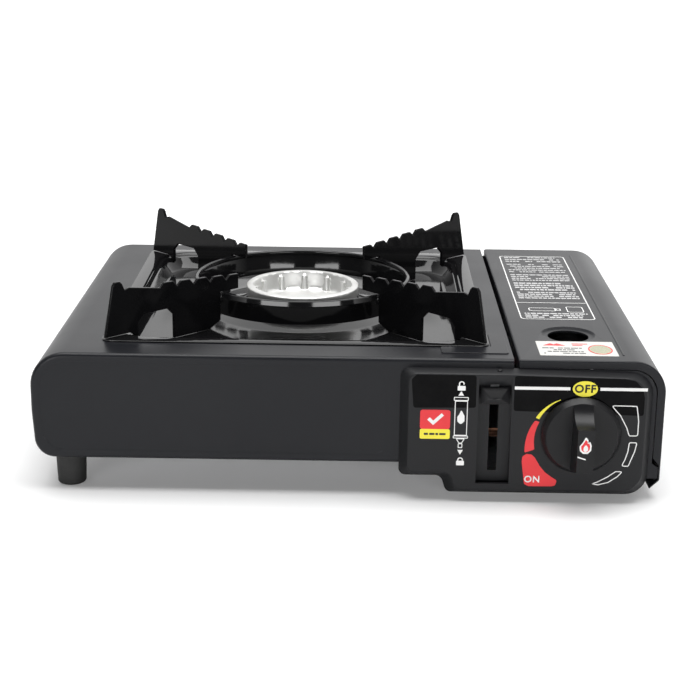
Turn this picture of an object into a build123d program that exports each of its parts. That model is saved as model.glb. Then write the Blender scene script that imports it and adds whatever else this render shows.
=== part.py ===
"""Butane cassette stove: a pressed steel body with a drip tray, a ring burner and a
lift-off pan support on the left, and a gas cartridge bay under a hinged lid on the right.

Frame: X to the right, Y to the back, Z up, in millimetres.  The origin is the middle of
the footprint, knob included, on the table.
"""
from math import cos, radians, sin, tan
import os

from build123d import *

os.makedirs("parts", exist_ok=True)

# ---------------------------------------------------------------- body, driving sizes
width = 340.0
depth = 256.0
body_top = 78.5
left_underside = 19.0        # underside of the burner half above the table
bay_underside = 7.0          # underside of the cartridge half above the table
sheet = 1.0                  # body sheet thickness
seat_gap = 0.3               # play left between neighbouring pieces

top_corner = 19.0            # big bend between top and left side
lower_corner = 11.0
side_bend = 100.0            # soft bend half way up the left side
side_bend_z = 45.0
side_lean = 1.7              # how far the lower side leans in
press_edge = 2.5             # small fold along front and rear edges
bottom_flange = 20.0         # flange that closes the underside around the base plate
side_flange = 30.0           # the same along the left side, round its bend
top_flange = 6.0             # flange folded down beside the cartridge bay
step_x_from_right = 113.0    # where the underside steps down to the cartridge half
step_lead = 9.0              # the step's slope starts this far before it

# front field, pressed in by a shallow step
field_inset = 4.6
field_press = 0.5
field_gap_to_panel = 7.0
field_corner = 6.5
field_slope = 45

# ---------------------------------------------------------------- cartridge half
lid_width = 79.2
lid_gap = 2.5
lid_top_corner = 18.0
lid_rim = 4.5
lid_tip_x = 5.0              # how far the lower tip turns in
lid_tip_z = 6.2
lid_wall_end_z = 11.0
lid_lip = 8.0                # height of the lip along the lid's left edge
lid_open = 12.0              # the lid's hollow runs out to the left below this depth
lid_bend = 1.5
lid_inner_bend = 0.5
lid_edge = 1.2
lid_tip_inset = 0.7          # the tip's inner corner, in and up from its outer one
lid_rim_end = 12.0           # the rims end this far above the hinge axis on their inside
lid_rim_end_out = 8.0        # and this far above it at the side wall
lid_clear = 5.0              # how far cutters run on beyond the lid
below_table = -10.0
finger_hole = 23.0
finger_dish = 30.6
finger_dish_depth = 1.2
finger_dish_slope = 30
finger_x_from_right = 47.0
finger_y_from_front = 50.0

hinge_from_right = 7.0
hinge_z = 12.0
hinge_pin = 3.0
hinge_ear = 4.0
hinge_ear_root = 6.0         # height of the ear where it meets the lid's side
hinge_ear_rise = 1.0         # and how far above the axis its middle is there
hinge_play = 0.05            # running play, on the radius
hinge_from_edge = 28.0
hinge_plate = 2.0
hinge_pin_length = 9.0
hinge_pin_lead = 2.0         # how far a pin's end stands out beyond its ear
hinge_post = 9.0             # from the axis to the near side of the bracket's post
wing_corner_out = 12.0       # how far the wings' lower corner keeps clear of the hinge axis
wing_corner_in = 7.0
wing_rise = 0.3              # their lower edge above the hinge axis
wing_drop = 0.2              # the wings end this far below the panel's top
wing_reach = 2.0             # how far they go past the hinge axis, to the lid's rim
wing_lobe = 5.4              # and below that rim's end, to the lid's side
wing_lobe_low = 6.5          # top of this lobe above the axis, at the side
wing_lobe_high = 9.0         # and at the rim
wing_bend = 1.5
wing_round = 0.5

can_radius = 33.5            # space for a standard 220 g cartridge
can_x_from_right = 44.0
can_z = 42.5
can_front_from_front = 66.0
cradle_width = 46.0
cradle_length = 14.0
cradle_places = (40.0, 130.0)   # from the cartridge's front end
cradle_reach = 18.0             # the cradles end this far below the cartridge's axis
cradle_play = 0.5

# ---------------------------------------------------------------- control panel, knob, lever
panel_depth = 8.0
panel_wall = 2.0
panel_top_z = 73.8
panel_bottom_z = 3.0
panel_left_bottom_z = 12.5
panel_width = 134.9
panel_step_from_left = 23.0
panel_step_lean = 3.0
panel_flare = 4.5            # how much wider the panel is at the wall than at its face
panel_top_flare = 1.0
panel_face_edge = 1.5
panel_fall = 1.5             # the panel's top falls this much to its right end
panel_level = 60.0           # from its left end to where the top starts to fall
panel_right_corner = 12.0
panel_corners = [5.0, 4.0, 4.5, 4.0]    # from the upper left one round to the lower right one
panel_screw_inset = 11.0
panel_screw_from_lever = 17.0
panel_screw_up = 15.0
boss_wall = 2.3
channel_skin = 1.5
channel_ramp = 6.5           # height of the slope at the channel's upper end
knob_from_right = 45.5
knob_z = 40.0
knob_radius = 21.2
knob_disc = 4.0
knob_edge = 2.3              # slope around the disc's face, inwards
knob_edge_height = 3.0
knob_grip_height = 15.5
knob_grip_width = 10.5
knob_grip_draft = 3.0
knob_grip_low = 14.0         # the flat of the grip ends this far below the axis
knob_grip_high = 9.5         # and this far above it, where the thumb hollow starts
knob_socket = 10.0
knob_gap = 1.0
shaft_radius = 3.0
shaft_play = 0.05

lever_from_knob = 46.2
channel_width = 17.8
channel_low_z = 11.2
channel_high_z = 71.0
channel_depth = 5.0
slot_width = 4.8
slot_low_z = 17.0
slot_high_z = 66.0
slot_play = 1.0              # the opening in the body behind it is this much larger
lever_pivot_y_from_front = 53.0
lever_pivot_z = 41.0
lever_reach = 61.6           # from the pivot to the back of the handle
lever_half_swing = 18.3      # degrees each side of level
lever_sheet = 2.0
lever_bar = 7.0
handle_thick = 4.2
handle_base = 1.4
handle_width = 15.4
handle_height = 9.4
handle_ridge_width = 6.5
handle_ridge_height = 1.2
handle_ridge_low = 1.8       # the ridge lies this far below the handle's middle
crank_arm = 10.0
crank_pin = 3.0
crank_pin_length = 5.0
crank_taper = 0.5            # the crank is this much narrower than the bar, each side
pivot_pin = 4.0
pivot_boss = 1.0             # the lever's eye is this much wider than its bar
lever_bracket_gap = 5.0      # from the bracket's far side to the lever's middle
lever_bracket_sheet = 1.5
lever_bracket_foot = 9.0
lever_bracket_eye = 6.0
pivot_pin_lead = 0.5         # the pin stands out this far beyond the bracket
pusher_sheet = 1.5
pusher_half = 26.0
pusher_rise = 14.0
pusher_foot = 15.0
pusher_foot_length = 26.0
pusher_tab = 16.0
pusher_tab_height = 10.0
pusher_to_pivot = 3.0
pusher_play = 2.0            # round the cartridge socket
crank_slot = 6.0
guide_width = 5.0
guide_height = 4.0
guide_inset = 2.0

# ---------------------------------------------------------------- drip tray
burner_from_left = 141.0
burner_from_front = 129.5
tray_width = 212.0
tray_depth = 215.0
tray_sheet = 0.8
tray_flange = 8.0
tray_corner = 6.0
tray_inner_corner = 20.0
tray_wall_lean = 9.0
tray_deck_z = 70.2           # upper face of the deck
tray_hole_radius = 37.0
collar_foot_radius = 57.0    # raised collar round the burner hole
collar_height = 3.6
opening_play = 1.2

# ---------------------------------------------------------------- pan support
ring_radius = 65.4
ring_top_z = 91.0
ring_foot_radius = 61.5
ring_height = 14.5
ring_sheet = 1.2
ring_roll = 1.6              # radius of the rolled rim
arm_sheet = 2.0
arm_outer = 147.5
arm_top_z = 109.7
arm_inner = 52.0
arm_inner_foot = 74.0
arm_inner_rise = 4.0         # the leg's inner side starts this far above its foot
arm_inner_leg = 100.0
arm_outer_leg = 125.0
arm_window_z = 88.5
arm_window_corner = 4.2
tooth_pitch = 12.0
tooth_first = 103.0
tooth_last_z = 100.3
tooth_first_z = 104.0
tooth_notch = 2.6
tooth_flat = 3.2
tooth_count = 5
# crest of an arm's outer end: in from the end, down from the top
arm_crest = ((6.0, 2.0), (7.5, 0.0), (11.0, 0.0), (12.5, 1.5), (14.0, 5.2))
arm_crest_width = 17.0
arm_crest_foot = 1.4         # above the first tooth

# ---------------------------------------------------------------- burner and gas way
burner_head_radius = 34.2
burner_mouth_radius = 29.7
burner_rim_z = 85.0
burner_seat_z = 72.0
burner_rib_count = 12
burner_rib = 1.7
burner_hub = 8.0
burner_floor = 1.6
burner_head_lean = 2.0       # the head's outside leans out by this much
burner_shoulder = 3.0
burner_edge = 0.8
burner_mouth_edge = 0.6
burner_mouth_lean = 2.2
burner_rib_inset = 1.6
burner_rib_drop = 4.0        # the ribs end this far below the rim
bowl_radius = 30.0
bowl_bottom_z = 38.0
bowl_wall = 2.0
bowl_neck_wall = 2.5
bowl_neck_length = 8.0
tube_angle = -42.6           # direction of the mixing tube, seen from above
tube_radius = 8.0
tube_wall = 1.5
tube_z = 49.0
tube_start = 29.0
tube_cap = 3.0
air_window = 12.0
jet_radius = 4.0
jet_orifice = 0.6
jet_length = 12.0
jet_tail = 2.0               # how far the jet stands out of the tube's cap
jet_nose = 2.0
tube_share = 0.5564          # of the way from the burner to the regulator, along X
pipe_radius = 2.5
pipe_bore = 1.6
pipe_bend = 7.0
pipe_z = 26.5
pipe_knee_run = 16.0
pipe_knee_lead = 9.5
burner_bracket_half = 26.0
bracket_foot = 12.0
bracket_sheet = 1.5
burner_bracket_width = 24.0
bracket_lean = 2.0
bracket_bends = [1.6, 2.0, 2.0, 1.6]
regulator_bracket_half = 11.0
regulator_foot = 9.0
regulator_bracket_inset = 3.0
pipe_from_front = 31.0

regulator_width = 32.0
regulator_height = 32.0
regulator_length = 28.0
regulator_from_front = 6.5
cover_radius = 15.0
cover_thick = 6.0
cover_step = 4.0
cover_taper = 15
regulator_corner = 5.0
socket_radius = 13.0
socket_length = 10.0
socket_bore = 7.0
socket_depth = 8.0
seal_thick = 2.0
seal_hole = 4.0

igniter_width = 14.0
igniter_height = 14.0
igniter_length = 30.0
igniter_setback = 1.0
igniter_corner = 2.0
cam_radius = 11.0
cam_thick = 3.0
cam_lobe = 0.6               # share of the cam's radius that each of its two rounds has
insulator_radius = 2.5
insulator_play = 1.0
electrode_radius = 0.8
electrode_angle = 60.0
electrode_reach = 39.5
electrode_top_z = 82.5
electrode_tip = 4.5
electrode_bend = 2.0
clip_half = 4.0
clip_sheet = 1.5
lead_radius = 1.2
# turns of the lead: from the igniter's rear end, from the lever, from the burner's axis
# at the table and from the electrode at the table
lead_turns_at_igniter = ((0.0, 10.0, 0.0), (-20.0, 15.0, -1.0))
lead_turns_at_lever = ((6.0, 14.0, -1.5), (-17.0, 24.0, -2.5), (-41.0, 51.0, -3.0))
lead_turns_at_burner = ((43.0, -9.0, 56.0), (34.0, 16.0, 44.0))
lead_turns_at_electrode = ((8.0, -5.0, 33.0), (0.0, 0.0, 35.0))

foot_radius = 8.4
foot_taper = 2.0
foot_from_side = 18.0
foot_from_edge = 15.0
screw_radius = 1.7
screw_head_radius = 3.6
screw_head = 2.0
screw_play = 0.1
base_screw_from_side = 38.0
base_screw_from_step = 16.0
base_screw_from_edge = 12.0
base_screw_length = 6.0
foot_right_inset = 26.0
foot_edge = 0.8
base_bend = 2.0
louvre_row = 62.0            # from the burner's middle to each row of louvres
louvre_pitch = 14.0
louvre_count = 9
louvre_length = 34.0
louvre_width = 4.5
partition_behind_pivot = 5.0
partition_slot_pitch = 30.0
partition_slot_count = 4
partition_slot_length = 18.0
partition_slot_width = 5.0

# ---------------------------------------------------------------- places worked out from them
left_x = -width / 2
right_x = width / 2
knob_reach = panel_depth + knob_gap + knob_disc + knob_grip_height
front_y = (knob_reach - depth) / 2
rear_y = front_y + depth
lid_left = right_x - lid_width
shell_right = lid_left - lid_gap
step_x = right_x - step_x_from_right
hinge_x = right_x - hinge_from_right
inner_front = front_y + sheet
inner_rear = rear_y - sheet
left_floor_z = left_underside + sheet          # where the base plate lies, burner half
bay_floor_z = bay_underside + sheet            # upper face of the cartridge half's floor
partition_x = shell_right - 2 * sheet - seat_gap
burner_x = left_x + burner_from_left
burner_y = front_y + burner_from_front
tray_top = body_top + tray_sheet
knob_x = right_x - knob_from_right
lever_x = knob_x - lever_from_knob
panel_right = hinge_x
panel_left = panel_right - panel_width
panel_face_y = front_y - panel_depth
can_x = right_x - can_x_from_right
can_front_y = front_y + can_front_from_front
pivot_y = front_y + lever_pivot_y_from_front
reg_left = knob_x - regulator_width / 2
reg_right = knob_x + regulator_width / 2
tube_end = tube_share * (reg_left - burner_x) / cos(radians(tube_angle))


def at_y(y):
    """Upright plane facing the front: local x is X, local y is Z."""
    return Plane.XZ.offset(-y)


def at_x(x):
    """Upright plane facing the right: local x is Y, local y is Z."""
    return Plane.YZ.offset(x)


def at_z(z):
    """Level plane."""
    return Plane.XY.offset(z)


def finish(builder, name):
    """Name a finished piece and write it."""
    builder.part.label = name
    export_step(builder.part, f"parts/{name}.step")


def bent_strip(points, radii, thickness):
    """Cross-section of a folded sheet that lies to the right of its line of points."""
    with BuildSketch() as strip:
        with BuildLine() as run:
            FilletPolyline(*points, radius=radii)
            offset(amount=thickness, side=Side.RIGHT)
        make_face()
    return strip.sketch


def slab(low, high):
    """Block between two opposite corners."""
    size = [b - a for a, b in zip(low, high)]
    middle = [(a + b) / 2 for a, b in zip(low, high)]
    return Pos(*middle) * Box(*size, mode=Mode.PRIVATE)


def pin(start, direction, radius, length):
    """Round pin from a point along a direction."""
    with BuildPart() as rod:
        with BuildSketch(Plane(origin=start, z_dir=direction)):
            Circle(radius)
        extrude(amount=length)
    return rod.part


def bored_pipe(points, bends, outer, bore):
    """Pipe along straight runs with tangent bends; a bore of zero makes it solid."""
    with BuildPart() as pipe:
        with BuildLine() as route:
            FilletPolyline(*points, radius=bends)
        with BuildSketch(route.line ^ 0):
            Circle(outer)
            if bore > 0:
                Circle(bore, mode=Mode.SUBTRACT)
        sweep()
    return pipe.part


def bends_for(points, largest):
    """Bend radius at each inner point, held to what the two runs beside it can take."""
    bends = []
    for before, here, after in zip(points, points[1:], points[2:]):
        run_in = Vector(*here) - Vector(*before)
        run_out = Vector(*after) - Vector(*here)
        turn = radians(run_in.get_angle(run_out))
        room = 0.45 * min(run_in.length, run_out.length) / tan(turn / 2)
        bends.append(min(largest, room))
    return bends


def cap_screw(place, direction, length):
    """Screw whose head lies behind the given point and whose shank runs on from it."""
    with BuildPart() as screw:
        with BuildSketch(Plane(origin=place, z_dir=direction)):
            Circle(screw_radius)
        extrude(amount=length)
        with BuildSketch(Plane(origin=place, z_dir=[-c for c in direction])):
            Circle(screw_head_radius)
        extrude(amount=screw_head)
        with BuildSketch(Plane(origin=place, z_dir=[-c for c in direction]).offset(screw_head)):
            RegularPolygon(radius=screw_radius, side_count=4)
        extrude(amount=-screw_head / 2, mode=Mode.SUBTRACT)
    return screw.part


# ================================================================ body shell
# One pressed sheet: top, left side, front and rear walls, with a low wing of the front
# and rear walls running on past the cartridge bay.
base_screw_places = [
    (x, y)
    for x in (left_x + base_screw_from_side, step_x - base_screw_from_step)
    for y in (front_y + base_screw_from_edge, rear_y - base_screw_from_edge)
]
panel_screw_places = [
    (panel_left + panel_screw_inset, left_floor_z + panel_screw_inset),
    (lever_x + panel_screw_from_lever, panel_top_z - panel_screw_inset),
    (panel_right - panel_screw_inset, panel_bottom_z + panel_screw_up),
]
valve_hole_radius = shaft_radius + slot_play
field_right = panel_left - field_gap_to_panel

with BuildPart() as body_shell:
    with BuildSketch(at_y(front_y)) as outline:
        with BuildLine():
            FilletPolyline(
                (shell_right, left_underside),
                (left_x + side_lean, left_underside),
                (left_x, side_bend_z),
                (left_x, body_top),
                (shell_right, body_top),
                radius=[lower_corner, side_bend, top_corner],
            )
            Line((shell_right, body_top), (shell_right, left_underside))
        make_face()
    extrude(amount=-depth)
    ends = body_shell.faces().sort_by(Axis.Y)
    rims = ends[0].edges() + ends[-1].edges()
    fillet([e for e in rims if e.center().X < shell_right - sheet], radius=press_edge)

    with BuildSketch(at_y(inner_front)):
        add(outline.sketch_local)
        offset(amount=-sheet, mode=Mode.REPLACE)
    extrude(amount=-(depth - 2 * sheet), mode=Mode.SUBTRACT)

    # the underside is open inside its flange, and all the way under the cartridge half
    add(
        slab(
            (left_x + side_flange, front_y + bottom_flange, left_underside - sheet),
            (step_x, rear_y - bottom_flange, left_floor_z + sheet),
        ),
        mode=Mode.SUBTRACT,
    )
    add(
        slab(
            (step_x - step_lead, inner_front, left_underside - sheet),
            (shell_right + sheet, inner_rear, left_floor_z),
        ),
        mode=Mode.SUBTRACT,
    )
    add(
        slab(
            (shell_right - 2 * sheet, inner_front, left_underside),
            (shell_right + sheet, inner_rear, body_top - top_flange),
        ),
        mode=Mode.SUBTRACT,
    )

    # wings of the front and rear walls beside and under the cartridge bay
    for wall_y in (front_y, inner_rear):
        with BuildSketch(at_y(wall_y)):
            with BuildLine():
                FilletPolyline(
                    (step_x - step_lead, left_floor_z),
                    (step_x, bay_floor_z),
                    (hinge_x - wing_corner_out, bay_floor_z),
                    (hinge_x - wing_corner_in, hinge_z + wing_rise),
                    (hinge_x + wing_lobe, hinge_z + wing_rise),
                    (hinge_x + wing_lobe, hinge_z + wing_lobe_low),
                    (hinge_x + wing_reach, hinge_z + wing_lobe_high),
                    (hinge_x + wing_reach, panel_top_z - wing_drop),
                    (shell_right - sheet, panel_top_z - wing_drop),
                    (shell_right - sheet, left_floor_z),
                    radius=[
                        wing_bend,
                        wing_bend,
                        wing_round,
                        wing_round,
                        wing_round,
                        wing_round,
                        lid_top_corner - lid_rim,
                        wing_round,
                    ],
                )
                Line((shell_right - sheet, left_floor_z), (step_x - step_lead, left_floor_z))
            make_face()
        extrude(amount=-sheet)

    # opening for the drip tray
    with BuildSketch(at_z(body_top - 2 * sheet)):
        with Locations((burner_x, burner_y)):
            RectangleRounded(
                tray_width - 2 * (tray_flange - opening_play),
                tray_depth - 2 * (tray_flange - opening_play),
                tray_inner_corner,
            )
    extrude(amount=3 * sheet, mode=Mode.SUBTRACT)

    # shallow pressed field of the front wall
    with BuildSketch(at_y(front_y)):
        with BuildLine():
            FilletPolyline(
                (field_right, left_underside + field_inset),
                (left_x + side_lean + field_inset, left_underside + field_inset),
                (left_x + field_inset, side_bend_z),
                (left_x + field_inset, body_top - field_inset),
                (field_right, body_top - field_inset),
                radius=[lower_corner, side_bend, top_corner - field_inset],
            )
            Line(
                (field_right, body_top - field_inset),
                (field_right, left_underside + field_inset),
            )
        make_face()
        fillet(vertices().group_by(Axis.X)[-1], radius=field_corner)
    extrude(amount=-field_press, taper=field_slope, mode=Mode.SUBTRACT)

    # holes in the front wall for the valve shaft, the lever and the panel screws
    with BuildSketch(at_y(front_y)):
        with Locations((knob_x, knob_z)):
            Circle(valve_hole_radius)
        with Locations((lever_x, (slot_low_z + slot_high_z) / 2)):
            Rectangle(slot_width + slot_play, slot_high_z - slot_low_z + 2 * slot_play)
        with Locations(*panel_screw_places):
            Circle(screw_radius + screw_play)
    extrude(amount=-sheet, mode=Mode.SUBTRACT)

    # holes in the underside flange
    with BuildSketch(at_z(left_underside - sheet)):
        with Locations(*base_screw_places):
            Circle(screw_radius + screw_play)
    extrude(amount=3 * sheet, mode=Mode.SUBTRACT)
finish(body_shell, "body_shell")

# ================================================================ base plate
base_right = hinge_x - wing_corner_in
with BuildPart() as base_plate:
    with BuildSketch(at_y(inner_front + seat_gap)):
        add(
            bent_strip(
                [
                    (left_x + side_lean + lower_corner, left_floor_z + sheet),
                    (step_x - step_lead + 2 * sheet, left_floor_z + sheet),
                    (step_x + 2 * sheet, bay_floor_z),
                    (base_right, bay_floor_z),
                ],
                [base_bend, base_bend],
                sheet,
            )
        )
    extrude(amount=-(depth - 2 * sheet - 2 * seat_gap))
    with BuildSketch(at_z(bay_underside - sheet)):
        with Locations(*base_screw_places):
            Circle(screw_radius + screw_play)
    extrude(amount=body_top / 2, mode=Mode.SUBTRACT)
    # cooling louvres under the burner
    with BuildSketch(at_z(left_underside)):
        with Locations((burner_x, burner_y + louvre_row), (burner_x, burner_y - louvre_row)):
            with GridLocations(louvre_pitch, 1, louvre_count, 1):
                SlotOverall(louvre_length, louvre_width, rotation=90)
    extrude(amount=3 * sheet, mode=Mode.SUBTRACT)
finish(base_plate, "base_plate")

with BuildPart() as base_screws:
    for x, y in base_screw_places:
        add(cap_screw((x, y, left_underside), (0, 0, 1), base_screw_length))
finish(base_screws, "base_screws")

# ================================================================ feet
foot_x_left = left_x + foot_from_side
foot_x_right = right_x - foot_right_inset
foot_rows = (front_y + foot_from_edge, rear_y - foot_from_edge)


def foot(x, y, top_z):
    """Tapered round foot with a small chamfer at the table."""
    with BuildPart() as block:
        with BuildSketch(at_z(top_z)):
            with Locations((x, y)):
                Circle(foot_radius)
        extrude(amount=-top_z, taper=foot_taper)
        chamfer(block.faces().sort_by(Axis.Z)[0].edges(), length=foot_edge)
    return block.part


with BuildPart() as feet_left:
    for y in foot_rows:
        add(foot(foot_x_left, y, left_underside))
finish(feet_left, "feet_left")

with BuildPart() as feet_right:
    for y in foot_rows:
        add(foot(foot_x_right, y, bay_underside))
finish(feet_right, "feet_right")

# ================================================================ partition
partition_front = pivot_y + partition_behind_pivot
with BuildPart() as partition_wall:
    with BuildSketch(at_x(partition_x)):
        with BuildLine():
            Polyline(
                (partition_front, bay_floor_z),
                (inner_rear - seat_gap, bay_floor_z),
                (inner_rear - seat_gap, body_top - sheet - seat_gap),
                (partition_front, body_top - sheet - seat_gap),
                close=True,
            )
        make_face()
        with Locations(((partition_front + inner_rear) / 2, body_top / 2)):
            with GridLocations(partition_slot_pitch, 1, partition_slot_count, 1):
                SlotOverall(partition_slot_length, partition_slot_width, mode=Mode.SUBTRACT)
    extrude(amount=sheet)
finish(partition_wall, "partition_wall")

# ================================================================ drip tray
# A pressed tray: flat flange, leaning walls, deck and a raised collar round the burner hole.
inner_w = tray_width - 2 * tray_flange
inner_d = tray_depth - 2 * tray_flange


def tray_form(grow):
    """Hollow of the tray, grown outwards by a sheet thickness for its outer face."""
    deck = tray_deck_z - grow
    with BuildPart() as form:
        with BuildSketch(Plane.XY.offset(tray_top)):
            with Locations((burner_x, burner_y)):
                RectangleRounded(inner_w + 2 * grow, inner_d + 2 * grow, tray_inner_corner)
        with BuildSketch(Plane.XY.offset(deck)):
            with Locations((burner_x, burner_y)):
                RectangleRounded(
                    inner_w + 2 * grow - 2 * tray_wall_lean,
                    inner_d + 2 * grow - 2 * tray_wall_lean,
                    tray_inner_corner - tray_wall_lean / 2,
                )
        loft()
        with BuildSketch(Plane.XY.offset(deck)):
            with Locations((burner_x, burner_y)):
                Circle(collar_foot_radius)
        with BuildSketch(Plane.XY.offset(deck + collar_height)):
            with Locations((burner_x, burner_y)):
                Circle(tray_hole_radius - tray_sheet)
        loft(mode=Mode.SUBTRACT)
    return form.part


with BuildPart() as drip_tray:
    with BuildSketch(at_z(body_top)):
        with Locations((burner_x, burner_y)):
            RectangleRounded(tray_width, tray_depth, tray_corner)
    extrude(amount=tray_sheet)
    add(tray_form(tray_sheet))
    add(tray_form(0), mode=Mode.SUBTRACT)
    electrode_place = (
        burner_x + electrode_reach * cos(radians(electrode_angle)),
        burner_y + electrode_reach * sin(radians(electrode_angle)),
    )
    with BuildSketch(at_z(tray_deck_z - 2 * tray_sheet)):
        with Locations((burner_x, burner_y)):
            Circle(tray_hole_radius)
        with Locations(electrode_place):
            Circle(insulator_radius + insulator_play)
    extrude(amount=collar_height + 4 * tray_sheet, mode=Mode.SUBTRACT)
finish(drip_tray, "drip_tray")

# ================================================================ pan support
ring_inner = ring_radius - ring_roll
with BuildPart() as pan_ring:
    with BuildSketch(Plane.XZ.offset(-burner_y)):
        with Locations((burner_x + ring_radius - ring_roll, ring_top_z - ring_roll)):
            Circle(ring_roll)
        with BuildLine():
            Polyline(
                (burner_x + ring_inner - ring_sheet / 2, ring_top_z - ring_roll),
                (burner_x + ring_inner + ring_sheet / 2, ring_top_z - ring_roll),
                (burner_x + ring_foot_radius + ring_sheet / 2, ring_top_z - ring_height),
                (burner_x + ring_foot_radius - ring_sheet / 2, ring_top_z - ring_height),
                close=True,
            )
        make_face()
    revolve(axis=Axis((burner_x, burner_y, 0), (0, 0, 1)))
finish(pan_ring, "pan_ring")

tooth_slope = (tooth_first_z - tooth_last_z) / ((tooth_count - 1) * tooth_pitch)
arm_rest_z = tray_top + seat_gap
arm_leg_z = tray_deck_z + seat_gap
arm_over_ring_z = ring_top_z + seat_gap
arm_ring_side = ring_radius + seat_gap

# the tray's corner slope, seen along an arm: top and foot of it, from the burner axis
slope_top = (inner_w / 2 - tray_inner_corner) * 2**0.5 + tray_inner_corner
foot_corner = tray_inner_corner - tray_wall_lean / 2
slope_foot = (inner_w / 2 - tray_wall_lean - foot_corner) * 2**0.5 + foot_corner
slope_rise = (tray_top - tray_deck_z) / (slope_top - slope_foot)
arm_leg_slope_z = tray_top + 2 * seat_gap - (slope_top - arm_outer_leg) * slope_rise


def arm_outline():
    """Outline of one arm: distance from the burner axis, height."""
    points = [(arm_outer, arm_rest_z)]
    points += [(arm_outer - inwards, arm_top_z - down) for inwards, down in arm_crest]
    points.append((arm_outer - arm_crest_width, tooth_first_z + arm_crest_foot))
    for i in range(tooth_count):
        r = tooth_first - i * tooth_pitch
        z = tooth_first_z - i * tooth_pitch * tooth_slope
        points.append((r + tooth_pitch / 2, z - tooth_notch))
        points.append((r + tooth_flat, z))
        points.append((r - tooth_flat, z - tooth_flat * tooth_slope))
    points += [
        (arm_inner, tooth_last_z - tooth_notch),
        (arm_inner, arm_over_ring_z),
        (arm_ring_side, arm_over_ring_z),
        (arm_ring_side, arm_leg_z + arm_inner_rise),
        (arm_inner_foot, arm_leg_z),
        (arm_inner_leg, arm_leg_z),
        (arm_inner_leg, arm_window_z - arm_window_corner),
        (arm_inner_leg + arm_window_corner, arm_window_z),
        (arm_outer_leg - arm_window_corner, arm_window_z),
        (arm_outer_leg, arm_window_z - arm_window_corner),
        (arm_outer_leg, arm_leg_slope_z),
        (slope_top, arm_rest_z),
    ]
    return points


with BuildPart() as pan_arms:
    for turn in (45, 135, 225, 315):
        outward = (cos(radians(turn)), sin(radians(turn)), 0)
        face = Plane(
            origin=(burner_x, burner_y, 0),
            x_dir=outward,
            z_dir=(sin(radians(turn)), -cos(radians(turn)), 0),
        )
        with BuildSketch(face.offset(-arm_sheet / 2)):
            with BuildLine():
                Polyline(*arm_outline(), close=True)
            make_face()
        extrude(amount=arm_sheet)
finish(pan_arms, "pan_arms")

# ================================================================ burner
with BuildPart() as burner_head:
    with BuildSketch(Plane.XZ.offset(-burner_y)):
        with BuildLine():
            Polyline(
                (burner_x + burner_hub, burner_seat_z),
                (burner_x + burner_head_radius - burner_head_lean, burner_seat_z),
                (burner_x + burner_head_radius, burner_rim_z - burner_shoulder),
                (burner_x + burner_head_radius, burner_rim_z - burner_edge),
                (burner_x + burner_head_radius - burner_edge, burner_rim_z),
                (burner_x + burner_mouth_radius + burner_mouth_edge, burner_rim_z),
                (burner_x + burner_mouth_radius, burner_rim_z - burner_edge),
                (
                    burner_x + burner_mouth_radius - burner_mouth_lean,
                    burner_seat_z + burner_floor + burner_edge,
                ),
                (burner_x + burner_hub, burner_seat_z + burner_floor),
                close=True,
            )
        make_face()
    revolve(axis=Axis((burner_x, burner_y, 0), (0, 0, 1)))
    # half-round ribs on the inside of the cup
    with BuildSketch(at_z(burner_seat_z + burner_floor)):
        with Locations((burner_x, burner_y)):
            with PolarLocations(burner_mouth_radius - burner_rib_inset, burner_rib_count):
                Circle(burner_rib)
    extrude(amount=burner_rim_z - burner_seat_z - burner_rib_drop)
finish(burner_head, "burner_head")

tube_way = Vector(cos(radians(tube_angle)), sin(radians(tube_angle)), 0)


def on_tube(distance, z=tube_z):
    """Point on the mixing tube's axis, by its distance from the burner axis."""
    return Vector(burner_x, burner_y, z) + tube_way * distance


with BuildPart() as burner_bowl:
    with BuildSketch(Plane.XZ.offset(-burner_y)):
        with BuildLine():
            Polyline(
                (burner_x, bowl_bottom_z),
                (burner_x + bowl_radius, bowl_bottom_z),
                (burner_x + bowl_radius, burner_seat_z),
                (burner_x + bowl_radius - bowl_wall, burner_seat_z),
                (burner_x + bowl_radius - bowl_wall, bowl_bottom_z + bowl_wall),
                (burner_x, bowl_bottom_z + bowl_wall),
                close=True,
            )
        make_face()
    revolve(axis=Axis((burner_x, burner_y, 0), (0, 0, 1)))
    with BuildSketch(Plane(origin=on_tube(bowl_radius - bowl_wall), z_dir=tube_way)):
        Circle(tube_radius + bowl_neck_wall)
    extrude(amount=bowl_wall + bowl_neck_length)
    with BuildSketch(Plane(origin=on_tube(bowl_radius - 2 * bowl_wall), z_dir=tube_way)):
        Circle(tube_radius + seat_gap / 3)
    extrude(amount=3 * bowl_wall + bowl_neck_length, mode=Mode.SUBTRACT)
finish(burner_bowl, "burner_bowl")

with BuildPart() as mixing_tube:
    with BuildSketch(Plane(origin=on_tube(tube_start), z_dir=tube_way)):
        Circle(tube_radius)
    extrude(amount=tube_end - tube_start)
    with BuildSketch(Plane(origin=on_tube(tube_start), z_dir=tube_way)):
        Circle(tube_radius - tube_wall)
    extrude(amount=tube_end - tube_start - tube_cap, mode=Mode.SUBTRACT)
    with BuildSketch(Plane(origin=on_tube(tube_end), z_dir=-tube_way)):
        Circle(jet_radius + shaft_play)
    extrude(amount=2 * tube_cap, mode=Mode.SUBTRACT)
    # air windows on both sides, behind the jet's tip
    window_middle = on_tube(tube_end - tube_cap - jet_length / 2 - air_window)
    across = Vector(-tube_way.Y, tube_way.X, 0)
    with BuildSketch(Plane(origin=window_middle, x_dir=tube_way, z_dir=across)):
        SlotOverall(air_window, tube_radius)
    extrude(amount=tube_radius + tube_wall, both=True, mode=Mode.SUBTRACT)
finish(mixing_tube, "mixing_tube")

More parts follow.
